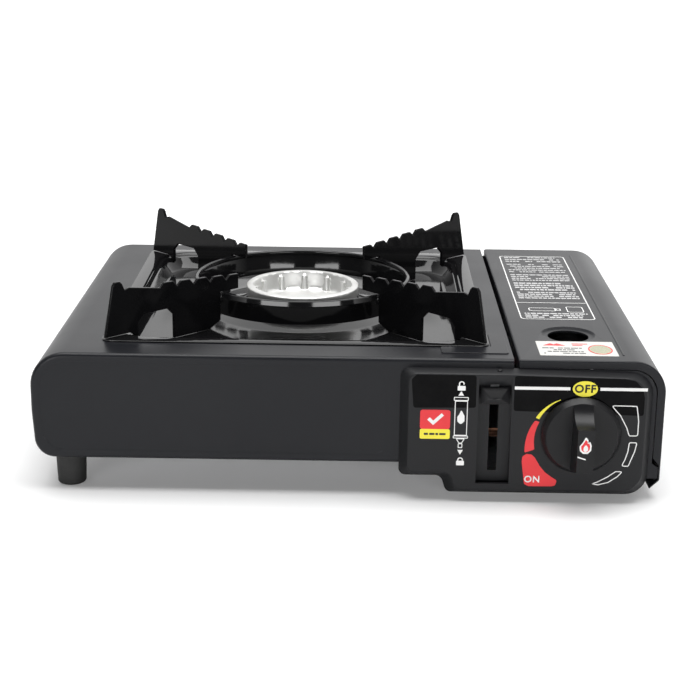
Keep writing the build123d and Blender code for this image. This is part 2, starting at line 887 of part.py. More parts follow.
with BuildPart() as gas_jet:
    with BuildSketch(Plane(origin=on_tube(tube_end + jet_tail), z_dir=-tube_way)):
        Circle(jet_radius)
    extrude(amount=jet_length)
    chamfer(gas_jet.edges().filter_by(GeomType.CIRCLE).sort_by(Axis.Y)[-1], length=jet_nose)
    with BuildSketch(Plane(origin=on_tube(tube_end + jet_tail), z_dir=-tube_way)):
        Circle(jet_orifice)
    extrude(amount=jet_length, mode=Mode.SUBTRACT)
finish(gas_jet, "gas_jet")

bracket_half = burner_bracket_half
with BuildPart() as burner_bracket:
    with BuildSketch(at_y(burner_y + burner_bracket_width / 2)):
        with Locations((burner_x, 0)):
            add(
                bent_strip(
                    [
                        (-bracket_half - bracket_foot, left_floor_z + sheet + bracket_sheet),
                        (-bracket_half, left_floor_z + sheet + bracket_sheet),
                        (-bracket_half + bracket_lean, bowl_bottom_z),
                        (bracket_half - bracket_lean, bowl_bottom_z),
                        (bracket_half, left_floor_z + sheet + bracket_sheet),
                        (bracket_half + bracket_foot, left_floor_z + sheet + bracket_sheet),
                    ],
                    bracket_bends,
                    bracket_sheet,
                )
            )
    extrude(amount=burner_bracket_width)
finish(burner_bracket, "burner_bracket")

# ---------------------------------------------------------------- spark electrode
ex, ey = electrode_place
toward_burner = Vector(burner_x - ex, burner_y - ey, 0).normalized()
electrode_low_z = 44.0
insulator_low_z = 48.0
insulator_high_z = 74.0
clip_z = 58.0
with BuildPart() as electrode_insulator:
    with BuildSketch(at_z(insulator_low_z)):
        with Locations(electrode_place):
            Circle(insulator_radius)
            Circle(electrode_radius + shaft_play, mode=Mode.SUBTRACT)
    extrude(amount=insulator_high_z - insulator_low_z)
finish(electrode_insulator, "electrode_insulator")

with BuildPart() as electrode_rod:
    tip = Vector(ex, ey, electrode_top_z) + toward_burner * electrode_tip
    add(
        bored_pipe(
            [(ex, ey, electrode_low_z), (ex, ey, electrode_top_z), tip],
            [electrode_bend],
            electrode_radius,
            0,
        )
    )
finish(electrode_rod, "electrode_rod")

with BuildPart() as electrode_clip:
    clip_plane = Plane(origin=(burner_x, burner_y, clip_z), x_dir=-toward_burner, z_dir=(0, 0, 1))
    with BuildSketch(clip_plane):
        with BuildLine():
            clip_start = bowl_radius + 2 * shaft_play
            Polyline(
                (clip_start, -clip_half),
                (electrode_reach, -clip_half),
                (electrode_reach, clip_half),
                (clip_start, clip_half),
                close=True,
            )
        make_face()
        with Locations((electrode_reach, 0)):
            Circle(clip_half)
            Circle(insulator_radius + shaft_play, mode=Mode.SUBTRACT)
        Circle(bowl_radius + shaft_play, mode=Mode.SUBTRACT)
    extrude(amount=clip_sheet)
finish(electrode_clip, "electrode_clip")

# ================================================================ regulator and valve
reg_front = front_y + regulator_from_front
reg_rear = reg_front + regulator_length
reg_low = knob_z - regulator_height / 2
reg_high = knob_z + regulator_height / 2
pipe_y = front_y + pipe_from_front

with BuildPart() as regulator_body:
    with BuildSketch(at_y(reg_front)):
        with Locations((knob_x, knob_z)):
            RectangleRounded(regulator_width, regulator_height, regulator_corner)
    extrude(amount=-regulator_length)
    with BuildSketch(at_y(reg_front)):
        with Locations((knob_x, knob_z)):
            Circle(shaft_radius + shaft_play)
    extrude(amount=-regulator_length / 2, mode=Mode.SUBTRACT)
finish(regulator_body, "regulator_body")

with BuildPart() as regulator_cover:
    with BuildSketch(at_x(reg_right)):
        with Locations(((reg_front + reg_rear) / 2, knob_z)):
            Circle(min(cover_radius, regulator_length / 2))
    extrude(amount=cover_thick / 2)
    with BuildSketch(at_x(reg_right + cover_thick / 2)):
        with Locations(((reg_front + reg_rear) / 2, knob_z)):
            Circle(min(cover_radius, regulator_length / 2) - cover_step)
    extrude(amount=cover_thick / 2, taper=cover_taper)
finish(regulator_cover, "regulator_cover")

with BuildPart() as regulator_bracket:
    with BuildSketch(at_y(reg_front + regulator_bracket_inset)):
        with Locations((knob_x, 0)):
            add(
                bent_strip(
                    [
                        (-regulator_bracket_half - regulator_foot, bay_floor_z + bracket_sheet),
                        (-regulator_bracket_half, bay_floor_z + bracket_sheet),
                        (-regulator_bracket_half, reg_low),
                        (regulator_bracket_half, reg_low),
                        (regulator_bracket_half, bay_floor_z + bracket_sheet),
                        (regulator_bracket_half + regulator_foot, bay_floor_z + bracket_sheet),
                    ],
                    bracket_bends,
                    bracket_sheet,
                )
            )
    extrude(amount=-(regulator_length - 2 * regulator_bracket_inset))
finish(regulator_bracket, "regulator_bracket")

with BuildPart() as cartridge_socket:
    with BuildSketch(at_y(reg_rear)):
        with Locations((can_x, can_z)):
            Circle(socket_radius)
    extrude(amount=-socket_length)
    with BuildSketch(at_y(reg_rear + socket_length)):
        with Locations((can_x, can_z)):
            Circle(socket_bore)
    extrude(amount=socket_depth, mode=Mode.SUBTRACT)
finish(cartridge_socket, "cartridge_socket")

with BuildPart() as socket_seal:
    with BuildSketch(at_y(reg_rear + socket_length - socket_depth)):
        with Locations((can_x, can_z)):
            Circle(socket_bore - seat_gap)
            Circle(seal_hole, mode=Mode.SUBTRACT)
    extrude(amount=-seal_thick)
finish(socket_seal, "socket_seal")

pipe_knee = on_tube(tube_end + jet_tail + pipe_knee_run)
pipe_points = [
    (reg_left, pipe_y, pipe_z),
    (pipe_knee.X + pipe_knee_lead, pipe_y, pipe_z),
    pipe_knee,
    on_tube(tube_end + jet_tail),
]
with BuildPart() as gas_pipe:
    add(bored_pipe(pipe_points, bends_for(pipe_points, pipe_bend), pipe_radius, pipe_bore))
finish(gas_pipe, "gas_pipe")

# ================================================================ igniter
igniter_z = reg_high + igniter_height / 2
with BuildPart() as piezo_igniter:
    with BuildSketch(at_y(reg_front + igniter_setback)):
        with Locations((knob_x, igniter_z)):
            RectangleRounded(igniter_width, igniter_height, igniter_corner)
    extrude(amount=-igniter_length)
finish(piezo_igniter, "piezo_igniter")

igniter_rear = reg_front + igniter_setback + igniter_length
lead_start = Vector(knob_x, igniter_rear, igniter_z)
lead_points = [lead_start]
lead_points += [lead_start + Vector(*turn) for turn in lead_turns_at_igniter]
lead_points += [Vector(lever_x, igniter_rear, igniter_z) + Vector(*turn) for turn in lead_turns_at_lever]
lead_points += [Vector(burner_x, burner_y, 0) + Vector(*turn) for turn in lead_turns_at_burner]
lead_points += [Vector(ex, ey, 0) + Vector(*turn) for turn in lead_turns_at_electrode]
lead_points.append(Vector(ex, ey, electrode_low_z - seat_gap))
lead_bends = bends_for(lead_points, depth)
print("ignition lead bend radii:", [round(r, 1) for r in lead_bends])
with BuildPart() as ignition_lead:
    add(bored_pipe(lead_points, lead_bends, lead_radius, 0))
finish(ignition_lead, "ignition_lead")

# ================================================================ control panel
channel_floor_y = panel_face_y + channel_depth


def panel_form(side, top):
    """Outline of the panel, drawn in by these amounts at its sides and at its top."""
    fall_from = (panel_left + panel_level, panel_top_z - top)
    fall_to = (panel_right - side, panel_top_z - panel_fall - top)
    with BuildSketch() as form:
        with BuildLine():
            FilletPolyline(
                fall_from,
                (panel_left + side, panel_top_z - top),
                (panel_left + side, panel_left_bottom_z + side),
                (panel_left + panel_step_from_left + side, panel_left_bottom_z + side),
                (
                    panel_left + panel_step_from_left + panel_step_lean + side,
                    panel_bottom_z + side,
                ),
                (panel_right - side, panel_bottom_z + side),
                fall_to,
                radius=panel_corners + [panel_right_corner],
            )
            Line(fall_to, fall_from)
        make_face()
        fillet(form.vertices().sort_by(lambda v: v.X + v.Y)[-1], radius=panel_right_corner)
    return form.sketch


with BuildPart() as control_panel:
    with BuildSketch(at_y(front_y)):
        add(panel_form(0, 0))
    with BuildSketch(at_y(panel_face_y)):
        add(panel_form(panel_flare, panel_top_flare))
    loft(ruled=True)
    front_face = control_panel.faces().sort_by(Axis.Y)[0]
    fillet(front_face.edges(), radius=panel_face_edge)
    with BuildSketch(at_y(front_y)):
        add(panel_form(panel_wall, panel_wall))
    with BuildSketch(at_y(panel_face_y + panel_wall)):
        add(panel_form(panel_flare + panel_wall, panel_top_flare + panel_wall))
    loft(ruled=True, mode=Mode.SUBTRACT)

    # lever channel: a box standing in the hollow, then its recess, slope and slot
    channel_middle = (lever_x, (channel_low_z + channel_high_z) / 2)
    channel_height = channel_high_z - channel_low_z
    with BuildSketch(at_y(channel_floor_y + channel_skin)):
        with Locations(channel_middle):
            Rectangle(channel_width + 2 * channel_skin, channel_height)
    extrude(amount=channel_depth + channel_skin - panel_face_edge)
    with BuildSketch(at_x(lever_x)):
        with BuildLine():
            Polyline(
                (panel_face_y, channel_low_z),
                (channel_floor_y, channel_low_z),
                (channel_floor_y, channel_high_z - channel_ramp),
                (panel_face_y, channel_high_z),
                close=True,
            )
        make_face()
    extrude(amount=channel_width / 2, both=True, mode=Mode.SUBTRACT)
    with BuildSketch(at_y(panel_face_y)):
        with Locations((lever_x, (slot_low_z + slot_high_z) / 2)):
            Rectangle(slot_width, slot_high_z - slot_low_z)
        with Locations((knob_x, knob_z)):
            Circle(valve_hole_radius)
    extrude(amount=-panel_depth, mode=Mode.SUBTRACT)

    # screw bosses against the body's front wall
    with BuildSketch(at_y(front_y)):
        with Locations(*panel_screw_places):
            Circle(screw_radius + boss_wall)
    extrude(amount=panel_depth - panel_wall / 2)
    with BuildSketch(at_y(front_y)):
        with Locations(*panel_screw_places):
            Circle(screw_radius + screw_play)
    extrude(amount=panel_depth - panel_wall, mode=Mode.SUBTRACT)
finish(control_panel, "control_panel")

with BuildPart() as panel_screws:
    for x, z in panel_screw_places:
        add(cap_screw((x, inner_front, z), (0, -1, 0), panel_depth - panel_wall))
finish(panel_screws, "panel_screws")

# ================================================================ knob, shaft and igniter cam
knob_back_y = panel_face_y - knob_gap
knob_disc_y = knob_back_y - knob_disc
knob_face_y = knob_disc_y - knob_grip_height
with BuildPart() as knob:
    with BuildSketch(at_y(knob_back_y)):
        with Locations((knob_x, knob_z)):
            Circle(knob_radius)
    extrude(amount=knob_disc)
    rim = knob.faces().sort_by(Axis.Y)[0].edges()
    chamfer(rim, length=knob_edge_height, length2=knob_edge, reference=knob.faces().sort_by(Axis.Z)[0])
    with BuildSketch(at_y(knob_disc_y)):
        with Locations((knob_x, knob_z)):
            Circle(knob_radius - knob_edge)
            Rectangle(knob_grip_width, 2 * knob_radius, mode=Mode.INTERSECT)
    extrude(amount=knob_grip_height, taper=knob_grip_draft)
    # sloped lower end of the grip, and the hollow for the thumb at its upper end
    with BuildSketch(at_x(knob_x)):
        with BuildLine():
            Polyline(
                (knob_face_y, knob_z - knob_grip_low),
                (knob_disc_y, knob_z - knob_radius + knob_edge),
                (knob_disc_y, knob_z - 2 * knob_radius),
                (knob_face_y, knob_z - 2 * knob_radius),
                close=True,
            )
        make_face()
        with BuildLine():
            top = knob_z + knob_radius - knob_edge
            ThreePointArc(
                (knob_face_y, knob_z + knob_grip_high),
                (
                    knob_disc_y - knob_grip_height / 3,
                    knob_z + knob_grip_high + (top - knob_z - knob_grip_high) / 3,
                ),
                (knob_disc_y, top),
            )
            Polyline(
                (knob_disc_y, top),
                (knob_disc_y, knob_z + 2 * knob_radius),
                (knob_face_y, knob_z + 2 * knob_radius),
                (knob_face_y, knob_z + knob_grip_high),
            )
        make_face()
    extrude(amount=knob_grip_width, both=True, mode=Mode.SUBTRACT)
    with BuildSketch(at_y(knob_back_y)):
        with Locations((knob_x, knob_z)):
            Circle(shaft_radius)
    extrude(amount=knob_socket, mode=Mode.SUBTRACT)
finish(knob, "knob")

with BuildPart() as valve_shaft:
    with BuildSketch(at_y(reg_front + regulator_length / 2 - seat_gap)):
        with Locations((knob_x, knob_z)):
            Circle(shaft_radius)
    extrude(amount=reg_front + regulator_length / 2 - seat_gap - knob_back_y + knob_socket)
finish(valve_shaft, "valve_shaft")

cam_y = (inner_front + reg_front + cam_thick) / 2
with BuildPart() as igniter_cam:
    with BuildSketch(at_y(cam_y)):
        with Locations((knob_x, knob_z)):
            Circle(cam_radius * cam_lobe)
        with Locations((knob_x - cam_radius / 4, knob_z - cam_radius / 4)):
            Circle(cam_radius * cam_lobe)
        with Locations((knob_x, knob_z)):
            Circle(shaft_radius, mode=Mode.SUBTRACT)
    extrude(amount=cam_thick)
finish(igniter_cam, "igniter_cam")

# ================================================================ lock lever
# In the lever's own plane, u runs along the bar from the pivot and v across it.
lever_up = radians(lever_half_swing)


def on_lever(u, v=0.0):
    """Place in the lever's plane (Y, Z) with the lever up."""
    return (
        pivot_y - u * cos(lever_up) + v * sin(lever_up),
        lever_pivot_z + u * sin(lever_up) + v * cos(lever_up),
    )


crank_place = (
    pivot_y + crank_arm * sin(lever_up),
    lever_pivot_z + crank_arm * cos(lever_up),
)
with BuildPart() as lock_lever:
    with BuildSketch(at_x(lever_x - lever_sheet / 2)):
        half = lever_bar / 2
        with BuildLine():
            Polyline(
                on_lever(0, -half),
                on_lever(lever_reach, -half),
                on_lever(lever_reach, half),
                on_lever(0, half),
                close=True,
            )
        make_face()
        with Locations((pivot_y, lever_pivot_z)):
            Circle(half + pivot_boss)
        with BuildLine():
            Polyline(
                (pivot_y - half, lever_pivot_z),
                (crank_place[0] - half + crank_taper, crank_place[1]),
                (crank_place[0] + half - crank_taper, crank_place[1]),
                (pivot_y + half, lever_pivot_z),
                close=True,
            )
        make_face()
        with Locations(crank_place):
            Circle(half - crank_taper)
        with Locations((pivot_y, lever_pivot_z)):
            Circle(pivot_pin / 2 + shaft_play, mode=Mode.SUBTRACT)
    extrude(amount=lever_sheet)
    add(pin((lever_x + lever_sheet / 2, *crank_place), (1, 0, 0), crank_pin / 2, crank_pin_length))
finish(lock_lever, "lock_lever")

handle_plane = Plane(
    origin=(lever_x, *on_lever(lever_reach)),
    x_dir=(1, 0, 0),
    z_dir=(0, -cos(lever_up), sin(lever_up)),
)
with BuildPart() as lever_handle:
    with BuildSketch(handle_plane):
        Rectangle(handle_width, handle_height)
    extrude(amount=handle_base)
    with BuildSketch(handle_plane.offset(handle_base)):
        Rectangle(handle_width, handle_height)
    with BuildSketch(handle_plane.offset(handle_thick)):
        with Locations((0, -handle_ridge_low)):
            Rectangle(handle_ridge_width, handle_ridge_height)
    loft()
finish(lever_handle, "lever_handle")

bracket_x = lever_x - lever_bracket_gap
with BuildPart() as lever_bracket:
    with BuildSketch(at_x(bracket_x)):
        with BuildLine():
            Polyline(
                (pivot_y - lever_bracket_foot, bay_floor_z),
                (pivot_y + lever_bracket_foot, bay_floor_z),
                (pivot_y + lever_bracket_eye, lever_pivot_z),
                (pivot_y - lever_bracket_eye, lever_pivot_z),
                close=True,
            )
        make_face()
        with Locations((pivot_y, lever_pivot_z)):
            Circle(lever_bracket_eye)
            Circle(pivot_pin / 2, mode=Mode.SUBTRACT)
    extrude(amount=lever_bracket_sheet)
    add(
        slab(
            (bracket_x - lever_bracket_foot, pivot_y - lever_bracket_foot, bay_floor_z),
            (bracket_x, pivot_y + lever_bracket_foot, bay_floor_z + lever_bracket_sheet),
        )
    )
finish(lever_bracket, "lever_bracket")

pin_left = bracket_x - pivot_pin_lead
pin_right = lever_x + lever_sheet / 2 + lever_bracket_sheet
with BuildPart() as lever_pin:
    add(pin((pin_left, pivot_y, lever_pivot_z), (1, 0, 0), pivot_pin / 2, pin_right - pin_left))
finish(lever_pin, "lever_pin")

# ================================================================ cartridge pusher
fork_y = pivot_y - pusher_to_pivot
tab_x = lever_x + lever_sheet / 2 + lever_bracket_sheet
fork_left = can_x - pusher_half
fork_right = can_x + pusher_half
tab_low = crank_place[1] - pusher_tab_height / 2
tab_high = crank_place[1] + pusher_tab_height / 2
collar = socket_radius + pusher_play
with BuildPart() as cartridge_pusher:
    with BuildSketch(at_y(fork_y)):
        with BuildLine():
            Polyline(
                (fork_left, bay_floor_z + seat_gap),
                (fork_right, bay_floor_z + seat_gap),
                (fork_right, can_z + pusher_rise),
                (fork_left, can_z + pusher_rise),
                close=True,
            )
        make_face()
        with BuildLine():
            Polyline(
                (tab_x, tab_low),
                (fork_left + pusher_sheet, tab_low),
                (fork_left + pusher_sheet, tab_high),
                (tab_x, tab_high),
                close=True,
            )
        make_face()
        with Locations((can_x, can_z)):
            Circle(collar, mode=Mode.SUBTRACT)
        with Locations((can_x, can_z + collar)):
            Rectangle(2 * collar, 2 * collar, mode=Mode.SUBTRACT)
    extrude(amount=-pusher_sheet)
    # foot that slides on the floor
    foot_z = bay_floor_z + seat_gap
    add(
        slab(
            (can_x - pusher_foot, fork_y, foot_z),
            (can_x + pusher_foot, fork_y + pusher_foot_length, foot_z + pusher_sheet),
        )
    )
    # tab with the slot for the crank pin
    with BuildSketch(at_x(tab_x)):
        with Locations((fork_y + pusher_tab / 2, crank_place[1])):
            Rectangle(pusher_tab, pusher_tab_height)
        with Locations(crank_place):
            SlotOverall(crank_slot, crank_pin + 2 * seat_gap, rotation=90, mode=Mode.SUBTRACT)
    extrude(amount=pusher_sheet)
finish(cartridge_pusher, "cartridge_pusher")

guide_front = fork_y + guide_inset
guide_rear = fork_y + pusher_foot_length - guide_inset
with BuildPart() as pusher_guides:
    for side in (-1, 1):
        inner = can_x + side * (pusher_foot + seat_gap)
        low_x = min(inner, inner + side * guide_width)
        add(
            slab(
                (low_x, guide_front, bay_floor_z),
                (low_x + guide_width, guide_rear, bay_floor_z + guide_height),
            )
        )
finish(pusher_guides, "pusher_guides")

# ================================================================ cartridge cradles
cradle_top = can_z - cradle_reach
with BuildPart() as cartridge_cradles:
    for place in cradle_places:
        y = can_front_y + place
        with BuildSketch(at_y(y)):
            with Locations((can_x, (bay_floor_z + cradle_top) / 2)):
                Rectangle(cradle_width, cradle_top - bay_floor_z)
            with Locations((can_x, can_z)):
                Circle(can_radius + cradle_play, mode=Mode.SUBTRACT)
        extrude(amount=-cradle_length)
finish(cartridge_cradles, "cartridge_cradles")

# ================================================================ cartridge lid
with BuildPart() as cartridge_lid:
    with BuildSketch(at_y(front_y)) as lid_outline:
        with BuildLine():
            FilletPolyline(
                (lid_left, body_top - lid_lip),
                (lid_left, body_top),
                (right_x, body_top),
                (right_x, lid_wall_end_z),
                (right_x - lid_tip_x, lid_tip_z),
                radius=[lid_bend, lid_top_corner, lid_bend],
            )
            Line((right_x - lid_tip_x, lid_tip_z), (lid_left, body_top - lid_lip))
        make_face()
    extrude(amount=-depth)
    ends = cartridge_lid.faces().sort_by(Axis.Y)
    rims = ends[0].edges() + ends[-1].edges()
    corner_edges = [
        e for e in rims
        if e.center().Z > body_top - sheet or e.center().X > right_x - lid_top_corner / 3
    ]
    fillet(
        [e for e in corner_edges if e.center().Z > lid_wall_end_z + sheet],
        radius=lid_edge,
    )
    # hollow it, leaving a rim along the front and rear ends
    with BuildSketch(at_y(inner_front)) as hollow:
        with BuildLine():
            FilletPolyline(
                (lid_left + sheet, body_top - lid_open),
                (lid_left + sheet, body_top - sheet),
                (right_x - sheet, body_top - sheet),
                (right_x - sheet, lid_wall_end_z + sheet / 2),
                (right_x - lid_tip_x - lid_tip_inset, lid_tip_z + lid_tip_inset),
                (lid_left, below_table),
                radius=[
                    lid_inner_bend,
                    lid_top_corner - sheet,
                    lid_inner_bend,
                    lid_inner_bend,
                ],
            )
            Polyline(
                (lid_left, below_table),
                (lid_left - lid_clear, below_table),
                (lid_left - lid_clear, body_top - lid_open),
                (lid_left + sheet, body_top - lid_open),
            )
        make_face()
    extrude(amount=-(depth - 2 * sheet), mode=Mode.SUBTRACT)
    for wall_y in (front_y, inner_rear):
        with BuildSketch(at_y(wall_y)):
            with BuildLine():
                FilletPolyline(
                    (lid_left - lid_clear, body_top - lid_rim),
                    (right_x - lid_rim, body_top - lid_rim),
                    (right_x - lid_rim, hinge_z + lid_rim_end),
                    (right_x - sheet, hinge_z + lid_rim_end_out),
                    radius=[lid_top_corner - lid_rim, lid_inner_bend],
                )
                Polyline(
                    (right_x - sheet, hinge_z + lid_rim_end_out),
                    (right_x - sheet, lid_wall_end_z + sheet / 2),
                    (right_x - lid_tip_x - lid_tip_inset, lid_tip_z + lid_tip_inset),
                    (right_x - lid_tip_x - lid_tip_inset, below_table),
                    (lid_left - lid_clear, below_table),
                    (lid_left - lid_clear, body_top - lid_rim),
                )
            make_face()
        extrude(amount=-sheet, mode=Mode.SUBTRACT)

    # finger hole in a shallow dish
    finger_place = (right_x - finger_x_from_right, front_y + finger_y_from_front)
    with BuildSketch(at_z(body_top - sheet - finger_dish_depth)):
        with Locations(finger_place):
            Circle(finger_dish / 2)
    extrude(amount=finger_dish_depth + sheet / 2)
    with BuildSketch(at_z(body_top)):
        with Locations(finger_place):
            Circle(finger_dish / 2)
    extrude(amount=-finger_dish_depth, taper=finger_dish_slope, mode=Mode.SUBTRACT)
    with BuildSketch(at_z(body_top)):
        with Locations(finger_place):
            Circle(finger_hole / 2)
    extrude(amount=-(finger_dish_depth + 2 * sheet), mode=Mode.SUBTRACT)

    # hinge ears
    for y in (front_y + hinge_from_edge, rear_y - hinge_from_edge - hinge_plate):
        with BuildSketch(at_y(y)):
            with Locations((hinge_x, hinge_z)):
                Circle(hinge_ear)
            with Locations(((hinge_x + right_x - sheet / 2) / 2, hinge_z + hinge_ear_rise)):
                Rectangle(right_x - sheet / 2 - hinge_x, hinge_ear_root)
            with Locations((hinge_x, hinge_z)):
                Circle(hinge_pin / 2 + hinge_play, mode=Mode.SUBTRACT)
        extrude(amount=-hinge_plate)
finish(cartridge_lid, "cartridge_lid")

bracket_gap = hinge_plate + seat_gap
post_right = hinge_x - hinge_post
post_left = can_x + cradle_width / 2 + seat_gap
with BuildPart() as hinge_brackets:
    for y in (front_y + hinge_from_edge + bracket_gap, rear_y - hinge_from_edge - hinge_plate - bracket_gap):
        with BuildSketch(at_y(y)):
            with Locations((hinge_x, hinge_z)):
                Circle(hinge_ear)
            with BuildLine():
                Polyline(
                    (hinge_x, hinge_z + hinge_ear),
                    (post_left, hinge_z + hinge_ear),
                    (post_left, bay_floor_z),
                    (post_right, bay_floor_z),
                    (post_right, hinge_z),
                    (hinge_x, hinge_z),
                    close=True,
                )
            make_face()
            with Locations((hinge_x, hinge_z)):
                Circle(hinge_pin / 2, mode=Mode.SUBTRACT)
        extrude(amount=-hinge_plate)
finish(hinge_brackets, "hinge_brackets")

with BuildPart() as hinge_pins:
    pin_front_y = front_y + hinge_from_edge - hinge_pin_lead
    pin_rear_y = rear_y - hinge_from_edge + hinge_pin_lead - hinge_pin_length
    for y in (pin_front_y, pin_rear_y):
        add(pin((hinge_x, y, hinge_z), (0, 1, 0), hinge_pin / 2, hinge_pin_length))
finish(hinge_pins, "hinge_pins")
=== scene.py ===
"""Looks of a butane cassette stove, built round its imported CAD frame.

Metres, +X right, +Y back, +Z up; the origin is the middle of the footprint on the table.
"""
import math

import bpy
from mathutils import Matrix, Vector, noise


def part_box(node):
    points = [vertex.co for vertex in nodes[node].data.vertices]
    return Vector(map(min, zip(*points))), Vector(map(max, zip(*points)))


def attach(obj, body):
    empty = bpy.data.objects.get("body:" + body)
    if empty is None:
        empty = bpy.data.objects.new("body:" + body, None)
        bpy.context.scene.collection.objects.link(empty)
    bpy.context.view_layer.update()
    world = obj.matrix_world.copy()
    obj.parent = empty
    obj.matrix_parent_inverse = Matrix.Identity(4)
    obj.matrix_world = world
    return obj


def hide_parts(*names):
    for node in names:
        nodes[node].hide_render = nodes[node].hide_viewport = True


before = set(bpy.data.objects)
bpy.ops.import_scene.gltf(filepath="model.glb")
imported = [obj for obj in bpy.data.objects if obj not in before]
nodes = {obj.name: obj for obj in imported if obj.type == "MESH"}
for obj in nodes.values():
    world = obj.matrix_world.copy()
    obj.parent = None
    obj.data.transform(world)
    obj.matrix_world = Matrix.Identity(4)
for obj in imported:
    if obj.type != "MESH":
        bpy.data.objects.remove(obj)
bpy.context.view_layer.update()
MM = 0.001

# ------------------------------------------------------------------ places, from the frame
tray_low, tray_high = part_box("drip_tray")
head_low, head_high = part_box("burner_head")
panel_low, panel_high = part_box("control_panel")
lid_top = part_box("cartridge_lid")[1].z
body_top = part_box("body_shell")[1].z
knob_low, knob_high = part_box("knob")
ring_low, ring_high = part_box("pan_ring")
burner = Vector(((head_low.x + head_high.x) / 2, (head_low.y + head_high.y) / 2, 0))
knob_at = Vector(((knob_low.x + knob_high.x) / 2, 0, (knob_low.z + knob_high.z) / 2))
panel_face = panel_low.y

# ------------------------------------------------------------------ named sizes
MERGE = 1e-6  # points of a new piece nearer than this are one
COPY_MERGE = 2e-6  # the same for a copy of a CAD node
SEED_SIZE = 0.001  # plane that is merged to the first point of an outline
FLAT_WITHIN = math.radians(1.0)  # faces of a copy that count as one flat face
BEVEL_FROM = math.radians(40)  # edges of a copy sharper than this are rounded
INK_THICKNESS = 0.00012
WORD_THICKNESS = 0.0001
CAP_SHARE = 0.7  # height of a capital as a share of the letter size
SHEET_THICKNESS = 0.0008  # of the enamelled tray


# ------------------------------------------------------------------ small helpers
def deselect():
    """Nothing selected, nothing in edit mode."""
    if bpy.context.object and bpy.context.object.mode != "OBJECT":
        bpy.ops.object.mode_set(mode="OBJECT")
    bpy.ops.object.select_all(action="DESELECT")


def pick(obj):
    """Only this object is selected and active."""
    deselect()
    obj.hide_set(False)
    obj.select_set(True)
    bpy.context.view_layer.objects.active = obj
    return obj


def name_it(obj, name):
    obj.name = name
    obj.data.name = name
    return obj


def settle(obj):
    """Put the place of an object into its mesh."""
    pick(obj)
    bpy.ops.object.transform_apply(location=True, rotation=True, scale=True)
    return obj


def modify(obj, kind, **values):
    """Add one modifier with these values and apply it."""
    pick(obj)
    mod = obj.modifiers.new(kind.title(), kind)
    for key, value in values.items():
        setattr(mod, key, value)
    bpy.ops.object.modifier_apply(modifier=mod.name)
    return obj


def smooth(obj, degrees=35):
    pick(obj)
    bpy.ops.object.shade_smooth_by_angle(angle=math.radians(degrees))
    return obj


def edit(obj, mode="FACE"):
    """Edit mode with nothing selected."""
    pick(obj)
    bpy.ops.object.mode_set(mode="EDIT")
    bpy.ops.mesh.select_mode(type=mode)
    bpy.ops.mesh.select_all(action="DESELECT")


def edit_all(obj, mode="VERT"):
    """Edit mode with everything selected."""
    edit(obj, mode)
    bpy.ops.mesh.select_all(action="SELECT")


def leave(obj):
    bpy.ops.object.mode_set(mode="OBJECT")
    return obj


def outward(obj):
    """Merge doubles and point every face outwards."""
    edit_all(obj)
    bpy.ops.mesh.remove_doubles(threshold=MERGE)
    bpy.ops.mesh.normals_make_consistent(inside=False)
    return leave(obj)


def weighted(obj):
    """Keep big flat faces flat where small rounded ones meet them."""
    return modify(obj, "WEIGHTED_NORMAL", mode="FACE_AREA", weight=90, keep_sharp=True)


def smooth_copy(node, name, degrees=32, bevel=0.0):
    """Merged and smooth-shaded copy of a CAD node that stands for it."""
    pick(nodes[node])
    bpy.ops.object.duplicate()
    copy = bpy.context.object
    copy.parent = None
    copy.matrix_world = Matrix.Identity(4)
    for key in [k for k in copy.keys() if k.startswith("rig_")]:
        del copy[key]
    name_it(copy, name)
    edit_all(copy)
    bpy.ops.mesh.remove_doubles(threshold=COPY_MERGE)
    leave(copy)
    if bevel:
        edit_all(copy, "FACE")
        bpy.ops.mesh.dissolve_limited(angle_limit=FLAT_WITHIN)
        leave(copy)
        modify(
            copy,
            "BEVEL",
            width=bevel,
            segments=2,
            limit_method="ANGLE",
            angle_limit=BEVEL_FROM,
        )
    smooth(copy, degrees)
    return weighted(copy)


def drawn_line(start, steps, name):
    """Chain of edges from a start point by these steps, all selected in edit mode."""
    bpy.ops.mesh.primitive_plane_add(size=SEED_SIZE, location=(0, 0, 0))
    obj = name_it(bpy.context.object, name)
    edit_all(obj)
    bpy.ops.mesh.merge(type="CENTER")
    leave(obj)
    obj.data.vertices[0].co = start
    edit_all(obj)
    for step in steps:
        bpy.ops.mesh.extrude_vertices_move(TRANSFORM_OT_translate={"value": step})
    bpy.ops.mesh.select_all(action="SELECT")
    return obj


def turned(profile, name, around, steps=128):
    """Solid of revolution about an upright axis, from a closed profile of (radius, z)."""
    onward = profile[1:] + profile[:1]
    obj = drawn_line(
        (around.x + profile[0][0], around.y, profile[0][1]),
        [(r - q, 0, z - w) for (q, w), (r, z) in zip(profile, onward)],
        name,
    )
    bpy.ops.mesh.spin(
        steps=steps,
        angle=math.tau,
        center=(around.x, around.y, 0),
        axis=(0, 0, 1),
        use_auto_merge=True,
    )
    leave(obj)
    return outward(obj)


def plate(points, name, thickness, to_world):
    """Flat plate from an outline, thickened evenly, placed by a matrix."""
    obj = drawn_line(
        (points[0][0], points[0][1], 0),
        [(x - u, y - v, 0) for (u, v), (x, y) in zip(points, points[1:])],
        name,
    )
    bpy.ops.mesh.edge_face_add()
    leave(obj)
    if thickness:
        modify(obj, "SOLIDIFY", thickness=thickness, offset=0)
    obj.data.transform(to_world)
    return outward(obj) if thickness else obj


def give(obj, material, body, *replaced, slot=None):
    """Dress a finished piece and hand it to the frame."""
    obj.data.materials.clear()
    obj.data.materials.append(material)
    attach(obj, body)
    if replaced:
        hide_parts(*replaced)
    return obj


